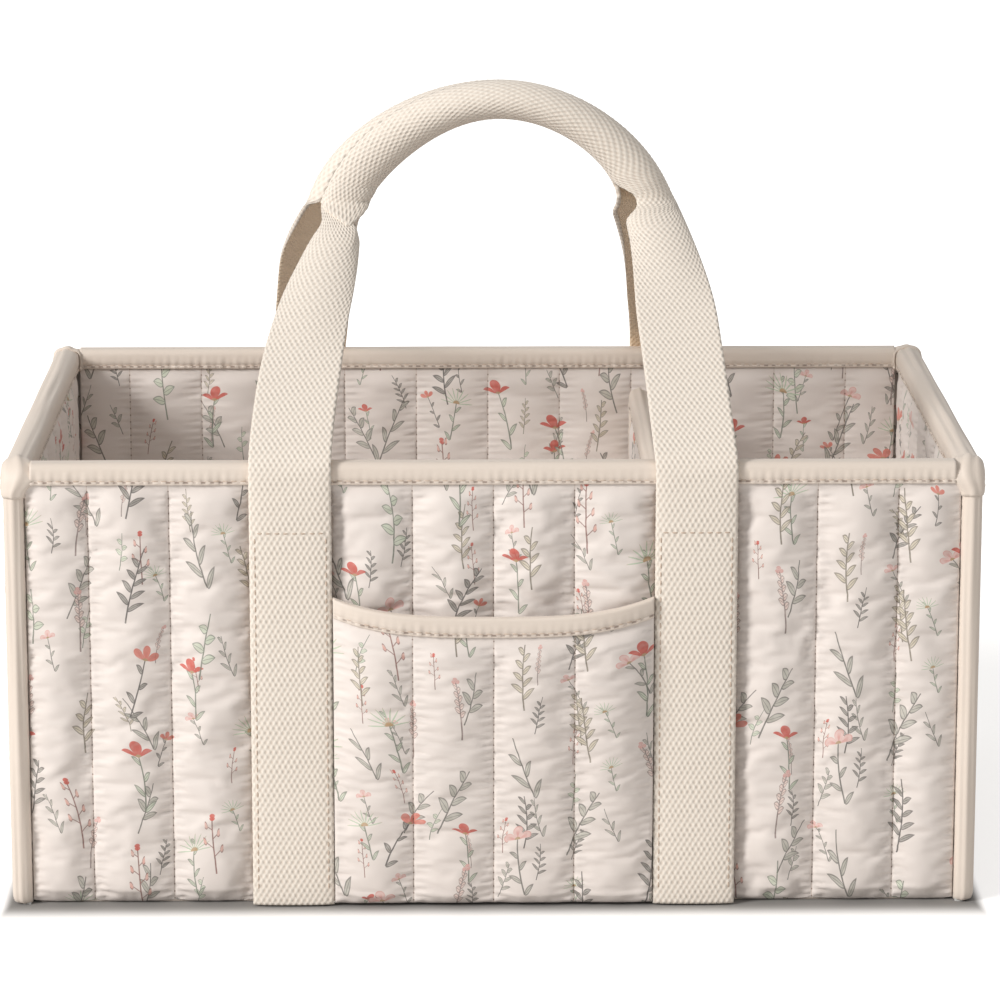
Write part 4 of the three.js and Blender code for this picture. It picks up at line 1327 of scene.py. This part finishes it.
def pocket(wall, first_channel, seed):
    columns = quilt_columns(POCKET_HALF)
    heights = lines(0.0, (0.010, TOP_SPACING), (0.100, ROW_SPACING), (POCKET_SIDE, TOP_SPACING))

    def place(column, height):
        x, channel, share, _ = column
        up = height[0] / POCKET_SIDE
        z = mix(POCKET_FOOT, pocket_top(x), up)
        round_foot = rounded(z / FOOT_ROUND)
        pressed = under_tape(z, pocket_top(x) - POCKET_TAPE_REACH + 0.001)
        swelling = POCKET_PUFF * round_foot * (1 - pressed)
        push = swell(channel + first_channel, share, up) * swelling
        push.y -= drawn_in(share, z, swelling)
        return Vector((
            x + push.x,
            -pocket_standoff(x, up) - POCKET_SHEET * (0.4 + 0.6 * round_foot) + push.y,
            z + push.z + foot_pinch(share, round_foot),
        ))

    panel = lay_cloth(
        f"{wall}_pocket", columns, heights, place, POCKET_CLOTH, printed_cotton,
        (first_channel * PITCH, first_channel * 3 * NEEDLE_PITCH / 1000), stand=WALLS[wall],
    )
    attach(panel, "caddy")
    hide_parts(f"{wall}_pocket_panel")

    section = folded_section(POCKET_TAPE_REACH, POCKET_TAPE_DEPTH, POCKET_TAPE_RADIUS)
    stations = lines(-POCKET_HALF, (POCKET_HALF, STITCH_PITCH / 4))

    def face(x):
        return -pocket_standoff(x, 1) - POCKET_SHEET - 0.0012

    def tape_place(station, spot):
        x, (_, inward, through) = station[0], spot
        stand_off = drawn_up(x, inward, POCKET_TAPE_REACH, seed) * outward(POCKET_TAPE_DEPTH, through)
        return Vector((x, face(x) + through + stand_off, pocket_top(x) + POCKET_TAPE_RISE - inward))

    tape = lay_cloth(
        f"{wall}_pocket_tape", stations, section, tape_place, POCKET_TAPE_THICKNESS, binding_cotton,
        (seed * 100 * STITCH_PITCH, 0), stand=WALLS[wall],
    )
    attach(tape, "caddy")
    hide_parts(f"{wall}_pocket_binding")

    def seam(x):
        height = pocket_top(x) + POCKET_TAPE_RISE - POCKET_TAPE_REACH + TAPE_GROOVE
        return Vector((x, face(x) + THREAD_SINK, height)), Vector((0, -1, 0))

    end = POCKET_HALF - SEAM_END
    sew(f"{wall}_pocket_stitches", stitch_places(seam, -end, end), "caddy", WALLS[wall])


pocket("front", 4, 5)
pocket("back", 30, 6)


# Divider
# A padded board across the inside, bound on three edges, with hook tape on its two ends that grips the
# loop tape along the lining.
divider_low, divider_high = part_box("divider_binding")
DIVIDER_DEPTH = divider_high.x - divider_low.x
DIVIDER_HALF = divider_high.y
DIVIDER_HEIGHT = divider_high.z - divider_low.z
DIVIDER_SEAM = 0.0018
DIVIDER_PUFF = 0.0022
DIVIDER_BACK = 0.0027
DIVIDER_FOOT = 0.0003
DIVIDER_FOOT_FADE = 0.006
RIGHT_FACE, LEFT_FACE = (
    Matrix.Translation((x, 0, divider_low.z)) @ Matrix.Rotation(turn, 4, "Z")
    for x, turn in ((divider_high.x, math.pi / 2), (divider_low.x, -math.pi / 2))
)


def divider_face(name, node, first_channel, stand):
    half = DIVIDER_HALF - TAPE_SEAT
    open_half = half - UPRIGHT_TAPE_SEAT
    top = DIVIDER_HEIGHT - TAPE_SEAT

    def base(x, z):
        return mix(DIVIDER_SEAM, TAPE_SEAT, under_tapes(x, z, DIVIDER_HEIGHT, open_half))

    def full(x, z):
        swelling = math.sqrt(min(1, z / DIVIDER_FOOT_FADE))
        return DIVIDER_PUFF * (1 - under_tapes(x, z, DIVIDER_HEIGHT, open_half)) * swelling

    def place(column, height):
        return in_rounded_corners(flat_place(column, height), half, top)

    columns = quilt_columns(half, UPRIGHT_TAPE_SEAT, LINING_STEPS)
    heights = panel_heights(DIVIDER_FOOT, top)
    flat_place = quilt(heights, -1, first_channel, base, full)
    face = lay_cloth(
        name, columns, heights, place, LINING_CLOTH, printed_cotton, (first_channel * PITCH, 0),
        DIVIDER_BACK, stand,
    )
    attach(face, "divider")
    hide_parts(node)


divider_face("divider_face_right", "divider_sheet_right", 170, RIGHT_FACE)
divider_face("divider_face_left", "divider_sheet_left", 190, LEFT_FACE)
edge_tape(
    "divider_tape", DIVIDER_HALF, DIVIDER_HEIGHT, DIVIDER_DEPTH, 7, RIGHT_FACE, "divider", "divider_binding",
)


# Hook and loop tape, base sheet
# A soft looped strip sewn along each long lining, the stiffer hooked strips on the divider's ends, and
# the plain cotton sheet under the boards.
LOOP_COLOUR = (0.74, 0.65, 0.56, 1)
LOOP_SHADE = (0.56, 0.46, 0.38, 1)
STRIP_EDGE = 0.0005
SHEET_EDGE = 0.0009

loop_pile = mottled_finish(
    "loop_pile", 0.95, 0.5, (LOOP_COLOUR, LOOP_SHADE), (1500, 3.0), (1800, 3.0), 0.0006,
)


def rounded_strip(name, node, finish, radius, body):
    """A strip of the CAD node's size with softly rounded edges."""
    low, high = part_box(node)
    bpy.ops.object.select_all(action="DESELECT")
    bpy.ops.mesh.primitive_cube_add(size=1, location=(low + high) / 2, scale=high - low)
    strip = bpy.context.object
    strip.name = strip.data.name = name
    bpy.ops.object.transform_apply(location=True, rotation=True, scale=True)
    bevel = strip.modifiers.new("edges", "BEVEL")
    bevel.width = radius
    bevel.segments = 4
    bpy.ops.object.modifier_apply(modifier="edges")
    bpy.ops.object.shade_smooth_by_angle(angle=math.radians(40))
    strip.data.materials.append(finish)
    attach(strip, body)
    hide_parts(node)


for wall in ("front", "back"):
    rounded_strip(f"{wall}_loop_strip", f"{wall}_loop_tape", loop_pile, STRIP_EDGE, "caddy")
    rounded_strip(
        f"divider_hook_strip_{wall}", f"divider_hook_tape_{wall}", loop_pile, STRIP_EDGE, "divider",
    )
rounded_strip("bottom_sheet", "base_sheet", binding_cotton, SHEET_EDGE, "caddy")


# Boards and grip core
# Grey fibre board stiffens the walls, the base and the divider, and closed-cell foam fills the grip.
BOARD_TONES = ((0.62, 0.62, 0.60, 1), (0.74, 0.74, 0.72, 1))
FOAM_TONES = ((0.80, 0.79, 0.75, 1), (0.88, 0.87, 0.84, 1))

stiff_board = mottled_finish("stiff_board", 0.7, 0.0, BOARD_TONES, (300, 4.0), (900, 3.0), 0.0002)
core_foam = mottled_finish("core_foam", 0.9, 0.0, FOAM_TONES, (900, 3.0), (1400, 2.0), 0.0003)
for name, node in nodes.items():
    if name.endswith("_board"):
        node.data.materials.clear()
        node.data.materials.append(stiff_board)

CORE_START = 0.07
CORE_END = 0.91
CORE_INSET = 0.0024
CORE_RINGS = 48
CORE_SIDES = 28

foam = bmesh.new()
rings = []
for k in range(CORE_RINGS + 1):
    station = arch_station(mix(CORE_START, CORE_END, k / CORE_RINGS), False)
    angles = [2 * math.pi * n / CORE_SIDES for n in range(CORE_SIDES)]
    rings.append([foam.verts.new(around_grip(station, angle, -CORE_INSET)) for angle in angles])
for ring, following in zip(rings, rings[1:]):
    for n in range(CORE_SIDES):
        m = (n + 1) % CORE_SIDES
        foam.faces.new((ring[n], ring[m], following[m], following[n]))
foam.faces.new(rings[0])
foam.faces.new(rings[-1])
bmesh.ops.recalc_face_normals(foam, faces=foam.faces)
core = finished_piece("grip_foam", foam, core_foam)
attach(core, "grip")
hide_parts("grip_core")

bpy.data.objects.remove(one_stitch)
